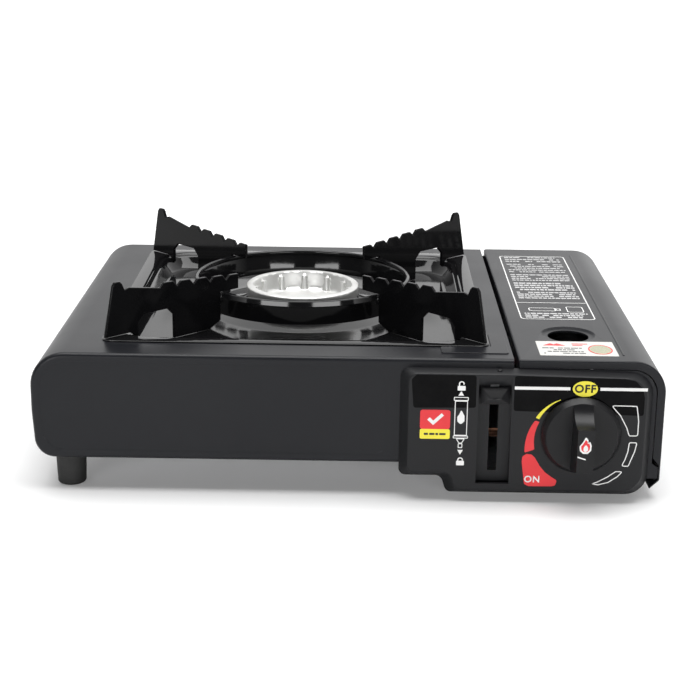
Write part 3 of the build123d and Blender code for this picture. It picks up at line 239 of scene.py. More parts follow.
# ------------------------------------------------------------------ shader groups
def new_group(name, inputs, outputs):
    """Shader group with named inputs (label, kind, value) and outputs (label, kind)."""
    tree = bpy.data.node_groups.new(name, "ShaderNodeTree")
    for label, kind, value in inputs:
        socket = tree.interface.new_socket(label, in_out="INPUT", socket_type=kind)
        socket.default_value = value
    for label, kind in outputs:
        tree.interface.new_socket(label, in_out="OUTPUT", socket_type=kind)
    return tree, tree.nodes.new("NodeGroupInput"), tree.nodes.new("NodeGroupOutput")


def add_node(tree, kind, **settings):
    """New node; a setting that names an input fills its default value."""
    made = tree.nodes.new(kind)
    for key, value in settings.items():
        label = key.replace("_", " ")
        if label in made.inputs:
            made.inputs[label].default_value = value
        else:
            setattr(made, key, value)
    return made


FLOAT, COLOUR = "NodeSocketFloat", "NodeSocketColor"


def make_fine_grain():
    """Paint or casting skin: fine noise over a broad ripple, as a height in metres."""
    tree, start, end = new_group(
        "fine_grain",
        [("Scale", FLOAT, 1000.0), ("Depth", FLOAT, 0.00001), ("Ripple", FLOAT, 0.00002)],
        [("Height", FLOAT), ("Mask", FLOAT)],
    )
    place = add_node(tree, "ShaderNodeTexCoord")
    fine = add_node(tree, "ShaderNodeTexNoise", Detail=3.0, Roughness=0.6)
    broad = add_node(tree, "ShaderNodeTexNoise", Scale=90.0, Detail=1.0)
    low = add_node(tree, "ShaderNodeMath", operation="MULTIPLY")
    both = add_node(tree, "ShaderNodeMath", operation="MULTIPLY_ADD")
    tree.links.new(place.outputs["Object"], fine.inputs["Vector"])
    tree.links.new(place.outputs["Object"], broad.inputs["Vector"])
    tree.links.new(start.outputs["Scale"], fine.inputs["Scale"])
    tree.links.new(broad.outputs["Fac"], low.inputs[0])
    tree.links.new(start.outputs["Ripple"], low.inputs[1])
    tree.links.new(fine.outputs["Fac"], both.inputs[0])
    tree.links.new(start.outputs["Depth"], both.inputs[1])
    tree.links.new(low.outputs[0], both.inputs[2])
    tree.links.new(both.outputs[0], end.inputs["Height"])
    tree.links.new(fine.outputs["Fac"], end.inputs["Mask"])
    return tree


def make_uneven_gloss():
    """Roughness that drifts between two values, as wiped and handled surfaces do."""
    tree, start, end = new_group(
        "uneven_gloss",
        [("Scale", FLOAT, 20.0), ("Low", FLOAT, 0.3), ("High", FLOAT, 0.5)],
        [("Roughness", FLOAT)],
    )
    place = add_node(tree, "ShaderNodeTexCoord")
    drift = add_node(tree, "ShaderNodeTexNoise", Detail=4.0, Roughness=0.55, Distortion=0.6)
    ramp = add_node(tree, "ShaderNodeMapRange", From_Min=0.3, From_Max=0.7)
    tree.links.new(place.outputs["Object"], drift.inputs["Vector"])
    tree.links.new(start.outputs["Scale"], drift.inputs["Scale"])
    tree.links.new(drift.outputs["Fac"], ramp.inputs["Value"])
    tree.links.new(start.outputs["Low"], ramp.inputs["To Min"])
    tree.links.new(start.outputs["High"], ramp.inputs["To Max"])
    tree.links.new(ramp.outputs["Result"], end.inputs["Roughness"])
    return tree


def make_colour_drift():
    """Colour that wanders to a second one in soft clouds."""
    tree, start, end = new_group(
        "colour_drift",
        [
            ("Scale", FLOAT, 12.0),
            ("Colour", COLOUR, (0.5, 0.5, 0.5, 1)),
            ("Second", COLOUR, (0.4, 0.4, 0.4, 1)),
        ],
        [("Colour", COLOUR)],
    )
    place = add_node(tree, "ShaderNodeTexCoord")
    drift = add_node(tree, "ShaderNodeTexNoise", Detail=5.0, Roughness=0.6)
    ramp = add_node(tree, "ShaderNodeMapRange", From_Min=0.35, From_Max=0.7)
    mix = add_node(tree, "ShaderNodeMix", data_type="RGBA")
    tree.links.new(place.outputs["Object"], drift.inputs["Vector"])
    tree.links.new(start.outputs["Scale"], drift.inputs["Scale"])
    tree.links.new(drift.outputs["Fac"], ramp.inputs["Value"])
    tree.links.new(ramp.outputs["Result"], mix.inputs["Factor"])
    tree.links.new(start.outputs["Colour"], mix.inputs[6])
    tree.links.new(start.outputs["Second"], mix.inputs[7])
    tree.links.new(mix.outputs[2], end.inputs["Colour"])
    return tree


def make_settled_dust():
    """Thin dust that lies on what faces up."""
    tree, start, end = new_group(
        "settled_dust",
        [
            ("Colour", COLOUR, (0.5, 0.5, 0.5, 1)),
            ("Dust", COLOUR, (0.45, 0.43, 0.4, 1)),
            ("Amount", FLOAT, 0.02),
        ],
        [("Colour", COLOUR)],
    )
    place = add_node(tree, "ShaderNodeTexCoord")
    face = add_node(tree, "ShaderNodeSeparateXYZ")
    specks = add_node(tree, "ShaderNodeTexNoise", Scale=700.0, Detail=3.0, Roughness=0.7)
    lying = add_node(tree, "ShaderNodeMapRange", From_Min=0.5, From_Max=1.0)
    patches = add_node(tree, "ShaderNodeMapRange", From_Min=0.45, From_Max=0.75)
    both = add_node(tree, "ShaderNodeMath", operation="MULTIPLY")
    amount = add_node(tree, "ShaderNodeMath", operation="MULTIPLY", use_clamp=True)
    mix = add_node(tree, "ShaderNodeMix", data_type="RGBA")
    tree.links.new(place.outputs["Normal"], face.inputs[0])
    tree.links.new(place.outputs["Object"], specks.inputs["Vector"])
    tree.links.new(face.outputs["Z"], lying.inputs["Value"])
    tree.links.new(specks.outputs["Fac"], patches.inputs["Value"])
    tree.links.new(lying.outputs["Result"], both.inputs[0])
    tree.links.new(patches.outputs["Result"], both.inputs[1])
    tree.links.new(both.outputs[0], amount.inputs[0])
    tree.links.new(start.outputs["Amount"], amount.inputs[1])
    tree.links.new(amount.outputs[0], mix.inputs["Factor"])
    tree.links.new(start.outputs["Colour"], mix.inputs[6])
    tree.links.new(start.outputs["Dust"], mix.inputs[7])
    tree.links.new(mix.outputs[2], end.inputs["Colour"])
    return tree


def make_zinc_spangle():
    """Crystal patches of zinc: cells of slightly different colour and gloss."""
    tree, start, end = new_group(
        "zinc_spangle",
        [
            ("Scale", FLOAT, 160.0),
            ("Colour", COLOUR, (0.6, 0.6, 0.6, 1)),
            ("Second", COLOUR, (0.5, 0.5, 0.5, 1)),
        ],
        [("Colour", COLOUR), ("Roughness", FLOAT)],
    )
    place = add_node(tree, "ShaderNodeTexCoord")
    cells = add_node(tree, "ShaderNodeTexVoronoi", Randomness=1.0)
    grey = add_node(tree, "ShaderNodeRGBToBW")
    rough = add_node(tree, "ShaderNodeMapRange", To_Min=0.28, To_Max=0.46)
    mix = add_node(tree, "ShaderNodeMix", data_type="RGBA")
    tree.links.new(place.outputs["Object"], cells.inputs["Vector"])
    tree.links.new(start.outputs["Scale"], cells.inputs["Scale"])
    tree.links.new(cells.outputs["Color"], grey.inputs[0])
    tree.links.new(grey.outputs[0], rough.inputs["Value"])
    tree.links.new(grey.outputs[0], mix.inputs["Factor"])
    tree.links.new(start.outputs["Colour"], mix.inputs[6])
    tree.links.new(start.outputs["Second"], mix.inputs[7])
    tree.links.new(mix.outputs[2], end.inputs["Colour"])
    tree.links.new(rough.outputs["Result"], end.inputs["Roughness"])
    return tree


FINE_GRAIN = make_fine_grain()
UNEVEN_GLOSS = make_uneven_gloss()
COLOUR_DRIFT = make_colour_drift()
SETTLED_DUST = make_settled_dust()
ZINC_SPANGLE = make_zinc_spangle()


# ------------------------------------------------------------------ finishes
def place_group(tree, group, **values):
    """Put a group into a material with its own values."""
    made = tree.nodes.new("ShaderNodeGroup")
    made.node_tree = group
    for key, value in values.items():
        made.inputs[key.replace("_", " ")].default_value = value
    return made


def finish_of(name, colour, second, gloss, grain, drift=14.0, dust=0.0, spangle=0.0, **fixed):
    """One finish: drifting colour, uneven gloss and grained skin on a Principled shader.

    gloss is (scale, low, high); grain is (scale, depth, ripple); what is fixed all over the
    surface is set on the shader's own sockets.
    """
    material = bpy.data.materials.new(name)
    material.use_nodes = True
    tree = material.node_tree
    shader = tree.nodes["Principled BSDF"]
    for key, value in fixed.items():
        shader.inputs[key.replace("_", " ")].default_value = value
    skin = place_group(tree, FINE_GRAIN, Scale=grain[0], Depth=grain[1], Ripple=grain[2])
    bump = add_node(tree, "ShaderNodeBump", Strength=1.0, Distance=1.0)
    tree.links.new(skin.outputs["Height"], bump.inputs["Height"])
    tree.links.new(bump.outputs["Normal"], shader.inputs["Normal"])
    if spangle:
        paint = place_group(
            tree, ZINC_SPANGLE, Scale=spangle, Colour=(*colour, 1), Second=(*second, 1)
        )
        tree.links.new(paint.outputs["Roughness"], shader.inputs["Roughness"])
    else:
        paint = place_group(
            tree, COLOUR_DRIFT, Scale=drift, Colour=(*colour, 1), Second=(*second, 1)
        )
        wiped = place_group(tree, UNEVEN_GLOSS, Scale=gloss[0], Low=gloss[1], High=gloss[2])
        tree.links.new(wiped.outputs["Roughness"], shader.inputs["Roughness"])
    if dust:
        film = place_group(tree, SETTLED_DUST, Amount=dust)
        tree.links.new(paint.outputs["Colour"], film.inputs["Colour"])
        paint = film
    tree.links.new(paint.outputs["Colour"], shader.inputs["Base Color"])
    return material


baked_paint = finish_of(
    "baked_paint",
    (0.0088, 0.0094, 0.0118),
    (0.0108, 0.0114, 0.0138),
    (9.0, 0.29, 0.36),
    (1500.0, 0.000006, 0.00001),
    dust=0.012,
    Specular_IOR_Level=0.24,
)
gloss_enamel = finish_of(
    "gloss_enamel",
    (0.005, 0.005, 0.0055),
    (0.007, 0.007, 0.0075),
    (25.0, 0.05, 0.1),
    (400.0, 0.000002, 0.00003),
    dust=0.008,
    Specular_IOR_Level=0.4,
)
arm_enamel = finish_of(
    "arm_enamel",
    (0.004, 0.004, 0.0045),
    (0.006, 0.006, 0.0065),
    (25.0, 0.07, 0.13),
    (400.0, 0.000002, 0.00001),
    dust=0.004,
    Specular_IOR_Level=0.14,
)
panel_satin = finish_of(
    "panel_satin",
    (0.0105, 0.0108, 0.0122),
    (0.0125, 0.0128, 0.0142),
    (30.0, 0.42, 0.52),
    (2500.0, 0.000012, 0.0),
    dust=0.01,
    Specular_IOR_Level=0.25,
)
knob_satin = finish_of(
    "knob_satin",
    (0.0065, 0.0065, 0.0075),
    (0.0085, 0.0085, 0.0095),
    (40.0, 0.28, 0.38),
    (2200.0, 0.000008, 0.0),
    Specular_IOR_Level=0.25,
)
satin_aluminium = finish_of(
    "satin_aluminium",
    (0.78, 0.78, 0.765),
    (0.68, 0.68, 0.665),
    (60.0, 0.4, 0.56),
    (1200.0, 0.00002, 0.00001),
    drift=50.0,
    Metallic=1.0,
)
cast_metal = finish_of(
    "cast_metal",
    (0.6, 0.6, 0.59),
    (0.48, 0.48, 0.47),
    (50.0, 0.38, 0.58),
    (900.0, 0.00005, 0.00002),
    drift=40.0,
    Metallic=1.0,
)
zinc_plate = finish_of(
    "zinc_plate",
    (0.66, 0.67, 0.69),
    (0.52, 0.53, 0.56),
    None,
    (1300.0, 0.000008, 0.00001),
    spangle=170.0,
    Metallic=1.0,
)
turned_brass = finish_of(
    "turned_brass",
    (0.78, 0.56, 0.26),
    (0.66, 0.45, 0.2),
    (60.0, 0.2, 0.34),
    (1500.0, 0.00001, 0.0),
    drift=60.0,
    Metallic=1.0,
)
drawn_copper = finish_of(
    "drawn_copper",
    (0.42, 0.21, 0.13),
    (0.26, 0.14, 0.1),
    (45.0, 0.34, 0.52),
    (1200.0, 0.000008, 0.0),
    drift=45.0,
    Metallic=1.0,
)
black_rubber = finish_of(
    "black_rubber",
    (0.011, 0.011, 0.011),
    (0.017, 0.017, 0.0165),
    (60.0, 0.6, 0.78),
    (1500.0, 0.00003, 0.0),
    dust=0.1,
)
white_ceramic = finish_of(
    "white_ceramic",
    (0.86, 0.84, 0.8),
    (0.78, 0.75, 0.69),
    (80.0, 0.12, 0.25),
    (700.0, 0.00001, 0.00001),
    drift=120.0,
)
red_sleeve = finish_of(
    "red_sleeve",
    (0.45, 0.04, 0.035),
    (0.36, 0.03, 0.03),
    (90.0, 0.35, 0.5),
    (1500.0, 0.00001, 0.0),
)


INK_GLOSS_SPREAD = 0.05
INK_SKIN = (1800.0, 0.000004, 0.0)


def print_of(name, colour, gloss=0.45, level=0.5):
    """Screen-printed ink or sticker face: nearly even colour, a little uneven in gloss."""
    paler = tuple(min(1.0, c * 1.06 + 0.002) for c in colour)
    return finish_of(
        name,
        colour,
        paler,
        (120.0, gloss - INK_GLOSS_SPREAD, gloss + INK_GLOSS_SPREAD),
        INK_SKIN,
        drift=150.0,
        Specular_IOR_Level=level,
    )


white_ink = print_of("white_ink", (0.8, 0.8, 0.79))
yellow_ink = print_of("yellow_ink", (0.83, 0.74, 0.045))
red_ink = print_of("red_ink", (0.72, 0.025, 0.032))
black_ink = print_of("black_ink", (0.01, 0.01, 0.01))
faded_ink = print_of("faded_ink", (0.1, 0.1, 0.105))
worn_white = print_of("worn_white", (0.5, 0.5, 0.5))
sticker_paper = print_of("sticker_paper", (0.62, 0.61, 0.58), 0.35)
pale_green = print_of("pale_green", (0.5, 0.5, 0.34), 0.35)
# very dark colour with little reflection, for the band over the panel's top
gloss_band = print_of("gloss_band", (0.0025, 0.0025, 0.0028), 0.1, 0.06)


# ------------------------------------------------------------------ shaping helpers
def on_face(y):
    """Matrix that stands flat work (x, z) upright on a face at this Y, facing the front."""
    return Matrix(((1, 0, 0, 0), (0, 0, -1, y), (0, 1, 0, 0), (0, 0, 0, 1)))


def on_top(z):
    """Matrix that lays flat work on a level face."""
    return Matrix.Translation((0, 0, z))


CORNER_SHARE = 0.48  # of a side that one rounded corner may take


def round_corners(points, radius, steps=5):
    """Outline with each corner rounded by up to this radius."""
    made = []
    count = len(points)
    for i, here in enumerate(points):
        before = Vector(points[i - 1])
        after = Vector(points[(i + 1) % count])
        here = Vector(here)
        first, second = before - here, after - here
        half = first.angle(second) / 2
        wanted = radius / max(math.tan(half), 0.05)
        back = min(wanted, CORNER_SHARE * first.length, CORNER_SHARE * second.length)
        start = here + first.normalized() * back
        end = here + second.normalized() * back
        for k in range(steps + 1):
            t = k / steps
            bend = start * (1 - t) ** 2 + here * 2 * t * (1 - t) + end * t**2
            made.append((bend.x, bend.y))
    return made


def box_outline(x0, y0, x1, y1, radius=0.0, steps=4):
    corners = [(x0, y0), (x1, y0), (x1, y1), (x0, y1)]
    return round_corners(corners, radius, steps) if radius else corners


def ellipse(x, y, half_w, half_h, count):
    turns = [k * math.tau / count for k in range(count)]
    return [(x + half_w * math.cos(a), y + half_h * math.sin(a)) for a in turns]


def shrunk(outline, x0, y0, share):
    """Outline drawn in towards a point."""
    return [(x0 + (x - x0) * share, y0 + (y - y0) * share) for x, y in outline]


def millimetres(points):
    return [(x * MM, y * MM) for x, y in points]


def frame_only(obj, width):
    """Turn a flat outline plate into a line of this width along its edge."""
    edit_all(obj, "FACE")
    bpy.ops.mesh.inset(thickness=width, use_even_offset=True)
    bpy.ops.mesh.delete(type="FACE")
    return leave(obj)


def merge_into_one(objects, name):
    """Join finished pieces of one kind."""
    deselect()
    for obj in objects:
        obj.select_set(True)
    bpy.context.view_layer.objects.active = objects[0]
    bpy.ops.object.join()
    return name_it(bpy.context.object, name)


def printed(
    outlines, name, to_world, material, body, slot, line=0.0, thickness=INK_THICKNESS
):
    """Printed shapes, each a thin film on a face; with a line width only their outlines."""
    films = []
    for outline in outlines:
        film = plate(outline, name, 0.0, Matrix.Identity(4))
        if line:
            frame_only(film, line)
        films.append(film)
    film = merge_into_one(films, name) if len(films) > 1 else films[0]
    modify(film, "SOLIDIFY", thickness=thickness, offset=0)
    film.data.transform(to_world)
    return give(outward(film), material, body, slot=slot)


def print_on(outlines, name, to_world, material, body, slot, line, corner):
    """Printed shapes in millimetres, with their corners rounded."""
    rounded = [round_corners(o, corner) if corner else o for o in outlines]
    flat = [millimetres(o) for o in rounded]
    return printed(flat, name, to_world, material, body, slot, line * MM)


def lettering(words, name, centre, height, to_world, material, body, slot, weight=0.0):
    """Short generic word of a switch, as a thin film."""
    bpy.ops.object.text_add(location=(0, 0, 0))
    obj = name_it(bpy.context.object, name)
    obj.data.body = words
    obj.data.align_x = "CENTER"
    obj.data.align_y = "CENTER"
    obj.data.size = height / CAP_SHARE
    obj.data.offset = weight
    obj.data.space_character = 1.12
    pick(obj)
    bpy.ops.object.convert(target="MESH")
    obj = name_it(bpy.context.object, name)
    modify(obj, "SOLIDIFY", thickness=WORD_THICKNESS, offset=0)
    obj.data.transform(Matrix.Translation((centre[0], centre[1], 0)))
    obj.data.transform(to_world)
    return give(outward(obj), material, body, slot=slot)


def reach(angle, half_w, half_d, radius):
    """Distance from the middle of a rounded rectangle to its edge in this direction."""
    c, s = abs(math.cos(angle)), abs(math.sin(angle))
    t = min(half_w / c if c > 1e-9 else 9.0, half_d / s if s > 1e-9 else 9.0)
    if t * c > half_w - radius and t * s > half_d - radius:
        cx, cy = half_w - radius, half_d - radius
        b = c * cx + s * cy
        t = b + math.sqrt(max(b * b - (cx * cx + cy * cy - radius * radius), 0.0))
    return t


def sheet_of_loops(loops, name):
    """Pressed sheet from closed loops of equal count, each extruded from the last."""
    bpy.ops.mesh.primitive_circle_add(vertices=len(loops[0]), radius=0.1, fill_type="NOTHING")
    obj = name_it(bpy.context.object, name)
    for vertex, point in zip(obj.data.vertices, loops[0]):
        vertex.co = point
    edit_all(obj, "EDGE")
    for previous, loop in zip(loops, loops[1:]):
        bpy.ops.mesh.extrude_edges_move(TRANSFORM_OT_translate={"value": (0, 0, 0)})
        bpy.ops.object.mode_set(mode="OBJECT")
        moved = {tuple(round(c, 6) for c in p): q for p, q in zip(previous, loop)}
        for vertex in obj.data.vertices:
            if vertex.select:
                vertex.co = moved[tuple(round(c, 6) for c in vertex.co)]
        bpy.ops.object.mode_set(mode="EDIT")
    return leave(obj)


# ------------------------------------------------------------------ body, base and feet
shell = smooth_copy("body_shell", "shell_skin")
give(shell, baked_paint, "root", "body_shell")

FOOT_BEVEL = 0.0006
foot_left = smooth_copy("feet_left", "rubber_feet_left", bevel=FOOT_BEVEL)
give(foot_left, black_rubber, "root", "feet_left")
foot_right = smooth_copy("feet_right", "rubber_feet_right", bevel=FOOT_BEVEL)
give(foot_right, black_rubber, "root", "feet_right")

# ------------------------------------------------------------------ drip tray
TRAY_HALF_W = (tray_high.x - tray_low.x) / 2
TRAY_HALF_D = (tray_high.y - tray_low.y) / 2
TRAY_TOP = tray_high.z
TRAY_DECK = 70.2 * MM
COLLAR_FOOT = 57.0 * MM
COLLAR_FILLET = 1.5 * MM
PAD_RISE = 2.6 * MM
FLANGE = 8.0  # width of the flange, up to where the wall turns down
FLANGE_CORNER, INNER_CORNER = 6, 20  # corner radius at the flange's two edges
WALL_RUN, WALL_CORNER_LOSS = 9, 4.5  # how far in the wall runs, and its corner gets sharper
DECK_SHARES = (0.12, 0.26, 0.42, 0.58, 0.74, 0.88)  # from the wall's foot to the collar

# flange and wall, in millimetres inwards from the outer edge and down from the top
EDGE_PROFILE = [
    (0.0, -0.35),
    (0.12, -0.1),
    (0.4, 0.0),
    (7.2, 0.0),
    (7.9, -0.12),
    (8.5, -0.7),
    (9.0, -1.25),
    (9.6, -1.4),
    (10.5, -1.45),
    (11.0, -1.7),
    (11.5, -2.4),
    (13.6, -5.3),
    (15.6, -7.9),
    (16.4, -8.6),
    (17.4, -9.0),
    (18.6, -9.1),
]

# collar round the burner, in millimetres of radius and of rise above the deck
COLLAR_PROFILE = [
    (57.2, 0.12),
    (55.8, 0.34),
    (50.0, 1.32),
    (44.0, 2.36),
    (40.0, 3.05),
    (38.6, 3.28),
    (37.8, 3.2),
    (37.3, 2.9),
]


def tray_angles():
    """Directions of the tray's loops, closer together at the corners."""
    quarter = [i * 3.0 for i in range(12)]
    quarter += [36.0 + i * 0.9 for i in range(20)]
    quarter += [54.0 + i * 3.0 for i in range(12)]
    return [math.radians(q + 90 * k) for k in range(4) for q in quarter]


def tray_edge_loop(inset, z):
    """One loop of the tray's flange and wall, this far inside its outer edge."""
    widening = (INNER_CORNER - FLANGE_CORNER) * min(inset / FLANGE, 1.0)
    down_wall = max(0.0, min((inset - FLANGE) / WALL_RUN, 1.0))
    corner = FLANGE_CORNER + widening - WALL_CORNER_LOSS * down_wall
    loop = []
    for angle in tray_angles():
        out = reach(angle, TRAY_HALF_W - inset * MM, TRAY_HALF_D - inset * MM, corner * MM)
        loop.append(
            Vector((burner.x + out * math.cos(angle), burner.y + out * math.sin(angle), z))
        )
    return loop


def tray_round_loop(radius, z):
    return [
        Vector((burner.x + radius * math.cos(a), burner.y + radius * math.sin(a), z))
        for a in tray_angles()
    ]


def tray_deck_loops(rim, foot):
    """Deck between the wall's foot and the collar: pockets in the corners, pads between."""
    loops = []
    for share in DECK_SHARES:
        loop = []
        swell = math.sin(math.pi * min(share * 1.25, 1.0)) ** 2
        for angle, a, b in zip(tray_angles(), rim, foot):
            side = math.cos(2 * angle) ** 2
            point = a.lerp(b, share)
            point.z += PAD_RISE * swell * side**3
            loop.append(point)
        loops.append(loop)
    return loops


tray_loops = [tray_edge_loop(inset, TRAY_TOP + drop * MM) for inset, drop in EDGE_PROFILE]
collar_foot_loop = tray_round_loop(COLLAR_FOOT + COLLAR_FILLET, TRAY_DECK)
tray_loops += tray_deck_loops(tray_loops[-1], collar_foot_loop)
tray_loops.append(collar_foot_loop)
for radius, rise in COLLAR_PROFILE:
    tray_loops.append(tray_round_loop(radius * MM, TRAY_DECK + rise * MM))
tray = sheet_of_loops(tray_loops, "enamel_tray")
modify(tray, "SOLIDIFY", thickness=SHEET_THICKNESS, offset=-1)
outward(tray)
smooth(tray, 50)
give(tray, gloss_enamel, "root", "drip_tray")

# ------------------------------------------------------------------ pan support
RIM_ROLL = 1.6 * MM
ARM_BEVEL = 0.00045
rim_r, rim_z = ring_high.x - burner.x - RIM_ROLL, ring_high.z - RIM_ROLL
foot_r, foot_z = rim_r - 2.3 * MM, ring_low.z
ring_profile = [(foot_r + 0.6 * MM, foot_z + 0.2 * MM), (rim_r + 0.3 * MM, rim_z - 2.4 * MM)]
ring_profile += [
    (rim_r + 1.2 * MM, rim_z - 1.6 * MM),
    (rim_r + 1.6 * MM, rim_z - 1.25 * MM),
    (rim_r + 1.12 * MM, rim_z + 0.85 * MM),
]
for k in range(9):
    turn = math.radians(50 + k * 200 / 8)
    ring_profile.append((rim_r + RIM_ROLL * math.cos(turn), rim_z + RIM_ROLL * math.sin(turn)))
ring_profile += [
    (rim_r - 0.9 * MM, rim_z - 2.4 * MM),
    (foot_r - 0.6 * MM, foot_z + 0.2 * MM),
    (foot_r - 0.3 * MM, foot_z),
    (foot_r + 0.3 * MM, foot_z),
]
ring = smooth(turned(ring_profile, "enamel_ring", burner, 144), 40)
give(ring, gloss_enamel, "pan_support", "pan_ring")

arms = smooth_copy("pan_arms", "enamel_arms", degrees=50, bevel=ARM_BEVEL)
give(arms, arm_enamel, "pan_support", "pan_arms")

# weld beads where the arms meet the ring, one on each side of an arm
BEAD_RADIUS = 0.001
BEAD_STRETCH = (1.0, 0.9, 2.9)
BEAD_OUT, BEAD_ASIDE, BEAD_Z = 65.6 * MM, 1.5 * MM, 87.6 * MM
BEAD_LEAN = 0.6
ARM_DIRECTIONS = (45, 135, 225, 315)
bpy.ops.mesh.primitive_ico_sphere_add(subdivisions=3, radius=BEAD_RADIUS, location=(0, 0, 0))
bead = name_it(bpy.context.object, "weld_bead")
edit_all(bead)
bpy.ops.transform.resize(value=BEAD_STRETCH)
leave(bead)
for vertex in bead.data.vertices:
    lump = noise.noise(vertex.co * 1500.0) + 0.5 * noise.noise(vertex.co * 4000.0)
    vertex.co *= 1.0 + 0.22 * lump
beads = []
for direction in ARM_DIRECTIONS:
    for side in (-1, 1):
        copy = bpy.data.objects.new("weld_beads", bead.data.copy())
        bpy.context.collection.objects.link(copy)
        around = math.radians(direction)
        place = Matrix.Translation((burner.x, burner.y, 0)) @ Matrix.Rotation(around, 4, "Z")
        place = place @ Matrix.Translation((BEAD_OUT, side * BEAD_ASIDE, BEAD_Z))
        copy.data.transform(place @ Matrix.Rotation(side * BEAD_LEAN, 4, "Z"))
        beads.append(copy)
bpy.data.objects.remove(bead)
welds = merge_into_one(beads, "weld_beads")
give(smooth(welds, 180), gloss_enamel, "pan_support", slot="black_enamel")

# ------------------------------------------------------------------ burner and gas way
head = smooth_copy("burner_head", "burner_crown", degrees=30)
give(head, satin_aluminium, "root", "burner_head")

for node, material in {
    "burner_bowl": cast_metal,
    "mixing_tube": zinc_plate,
    "gas_jet": turned_brass,
    "burner_bracket": zinc_plate,
    "electrode_insulator": white_ceramic,
    "electrode_rod": zinc_plate,
    "electrode_clip": zinc_plate,
    "regulator_body": cast_metal,
    "regulator_cover": zinc_plate,
    "regulator_bracket": zinc_plate,
    "cartridge_socket": turned_brass,
    "socket_seal": black_rubber,
    "gas_pipe": drawn_copper,
    "piezo_igniter": knob_satin,
    "ignition_lead": red_sleeve,
    "base_plate": zinc_plate,
    "base_screws": zinc_plate,
    "partition_wall": zinc_plate,
    "panel_screws": zinc_plate,
    "lever_bracket": zinc_plate,
    "lever_pin": zinc_plate,
    "pusher_guides": zinc_plate,
    "cartridge_cradles": zinc_plate,
    "hinge_brackets": zinc_plate,
    "hinge_pins": zinc_plate,
}.items():
    give(smooth_copy(node, node + "_skin", degrees=30), material, "root", node)
for node, body, material in [
    ("valve_shaft", "knob", zinc_plate),
    ("igniter_cam", "knob", knob_satin),
    ("lock_lever", "lever", zinc_plate),
    ("cartridge_pusher", "pusher", zinc_plate),
]:
    give(smooth_copy(node, node + "_skin", degrees=30), material, body, node)

# ------------------------------------------------------------------ control panel and knob
panel = smooth_copy("control_panel", "panel_moulding", degrees=30)
give(panel, panel_satin, "root", "control_panel")

KNOB_BEVEL, HANDLE_BEVEL = 0.0004, 0.0003
knob = smooth_copy("knob", "knob_moulding", degrees=32, bevel=KNOB_BEVEL)
give(knob, knob_satin, "knob", "knob")

handle = smooth_copy("lever_handle", "lock_handle", degrees=25, bevel=HANDLE_BEVEL)
give(handle, knob_satin, "lever", "lever_handle")

# ------------------------------------------------------------------ cartridge lid
lid = smooth_copy("cartridge_lid", "lid_skin", degrees=30)
give(lid, baked_paint, "lid", "cartridge_lid")

# ------------------------------------------------------------------ print on the panel
GROUND, INKED, OVER = 0.00004, 0.00012, 0.0002  # how far each layer of print stands off


def on_panel(outlines, name, material, line=0.0, corner=0.0, layer=INKED):
    """Printed shapes on one layer of the panel's print, in millimetres of X and Z."""
    face = on_face(panel_face - layer)
    return print_on(outlines, name, face, material, "root", "panel_plastic", line, corner)


# very dark, barely reflecting band over the top of the panel and beside the lever slot, laid
# on the moulding as a film
band_left = [(35.1, 53.8), (68.2, 54.2), (68.0, 72.2), (36.4, 72.2), (33.9, 69.6)]
band_right = [(88.2, 52.8), (157.2, 51.0), (157.2, 61.0), (156.0, 66.0), (152.0, 70.2)]
band_right += [(146.0, 71.4), (88.2, 72.2)]
on_panel([band_left, band_right], "dark_panel_band", gloss_band, corner=1.5, layer=GROUND)


def dial_arc(start, end, inner, outer, steps=14):
    """Band round the knob from one angle to another; its width runs between two pairs."""
    near, far = [], []
    for k in range(steps + 1):
        t = k / steps
        angle = math.radians(start + (end - start) * t)
        for side, (a, b) in ((near, inner), (far, outer)):
            r = a + (b - a) * t
            x = knob_at.x / MM + r * math.cos(angle)
            side.append((x, knob_at.z / MM + r * math.sin(angle)))
    return far + near[::-1]


yellow_arc = dial_arc(121, 159.5, (22.4, 24.0), (22.7, 26.0))
on_panel([yellow_arc], "dial_yellow", yellow_ink)
red_arc = dial_arc(163, 200, (23.3, 25.8), (25.7, 31.3))
on_panel([red_arc], "dial_red_middle", red_ink, corner=1.6)
on_shape = [(93.8, 24.0), (94.0, 27.0), (96.1, 28.6), (98.9, 28.3), (100.8, 26.4)]
on_shape += [(103.5, 21.8), (106.4, 18.3), (109.8, 15.7), (113.2, 13.6), (112.2, 10.6)]
on_shape += [(110.1, 10.2), (98.0, 10.1), (95.6, 11.3)]
on_panel([on_shape], "dial_red_on", red_ink, corner=1.6)
segments = [
    [(139.3, 56.8), (153.6, 56.6), (155.0, 48.1), (155.0, 39.5), (150.1, 39.4), (148.5, 44.0)]
    + [(144.8, 50.8)],
    [(150.4, 36.1), (155.0, 36.1), (154.0, 30.8), (151.0, 22.1), (146.9, 22.2), (148.6, 26.0)]
    + [(149.9, 30.7)],
    [(144.3, 19.5), (148.5, 19.4), (145.4, 16.0), (140.7, 12.7), (135.3, 11.2), (131.1, 11.9)]
    + [(134.6, 13.2), (139.9, 16.2)],
]
on_panel(segments, "dial_segments", white_ink, line=0.5, corner=1.2)
on_panel(
    [box_outline(88.3, 64.75, 117.6, 66.45), box_outline(133.4, 64.75, 158.4, 66.45)],
    "dial_lines",
    white_ink,
)
on_panel([ellipse(125.5, 65.6, 6.65, 4.35, 48)], "dial_off_oval", yellow_ink)
for word, name, x, z, height, ink, weight in [
    ("OFF", "dial_off_word", 125.5, 65.5, 4.2, black_ink, 0.00018),
    ("ON", "dial_on_word", 99.7, 14.0, 3.6, white_ink, 0.00012),
]:
    face = on_face(panel_face - OVER)
    at = (x * MM, z * MM)
    lettering(word, name, at, height * MM, face, ink, "root", "panel_plastic", weight)

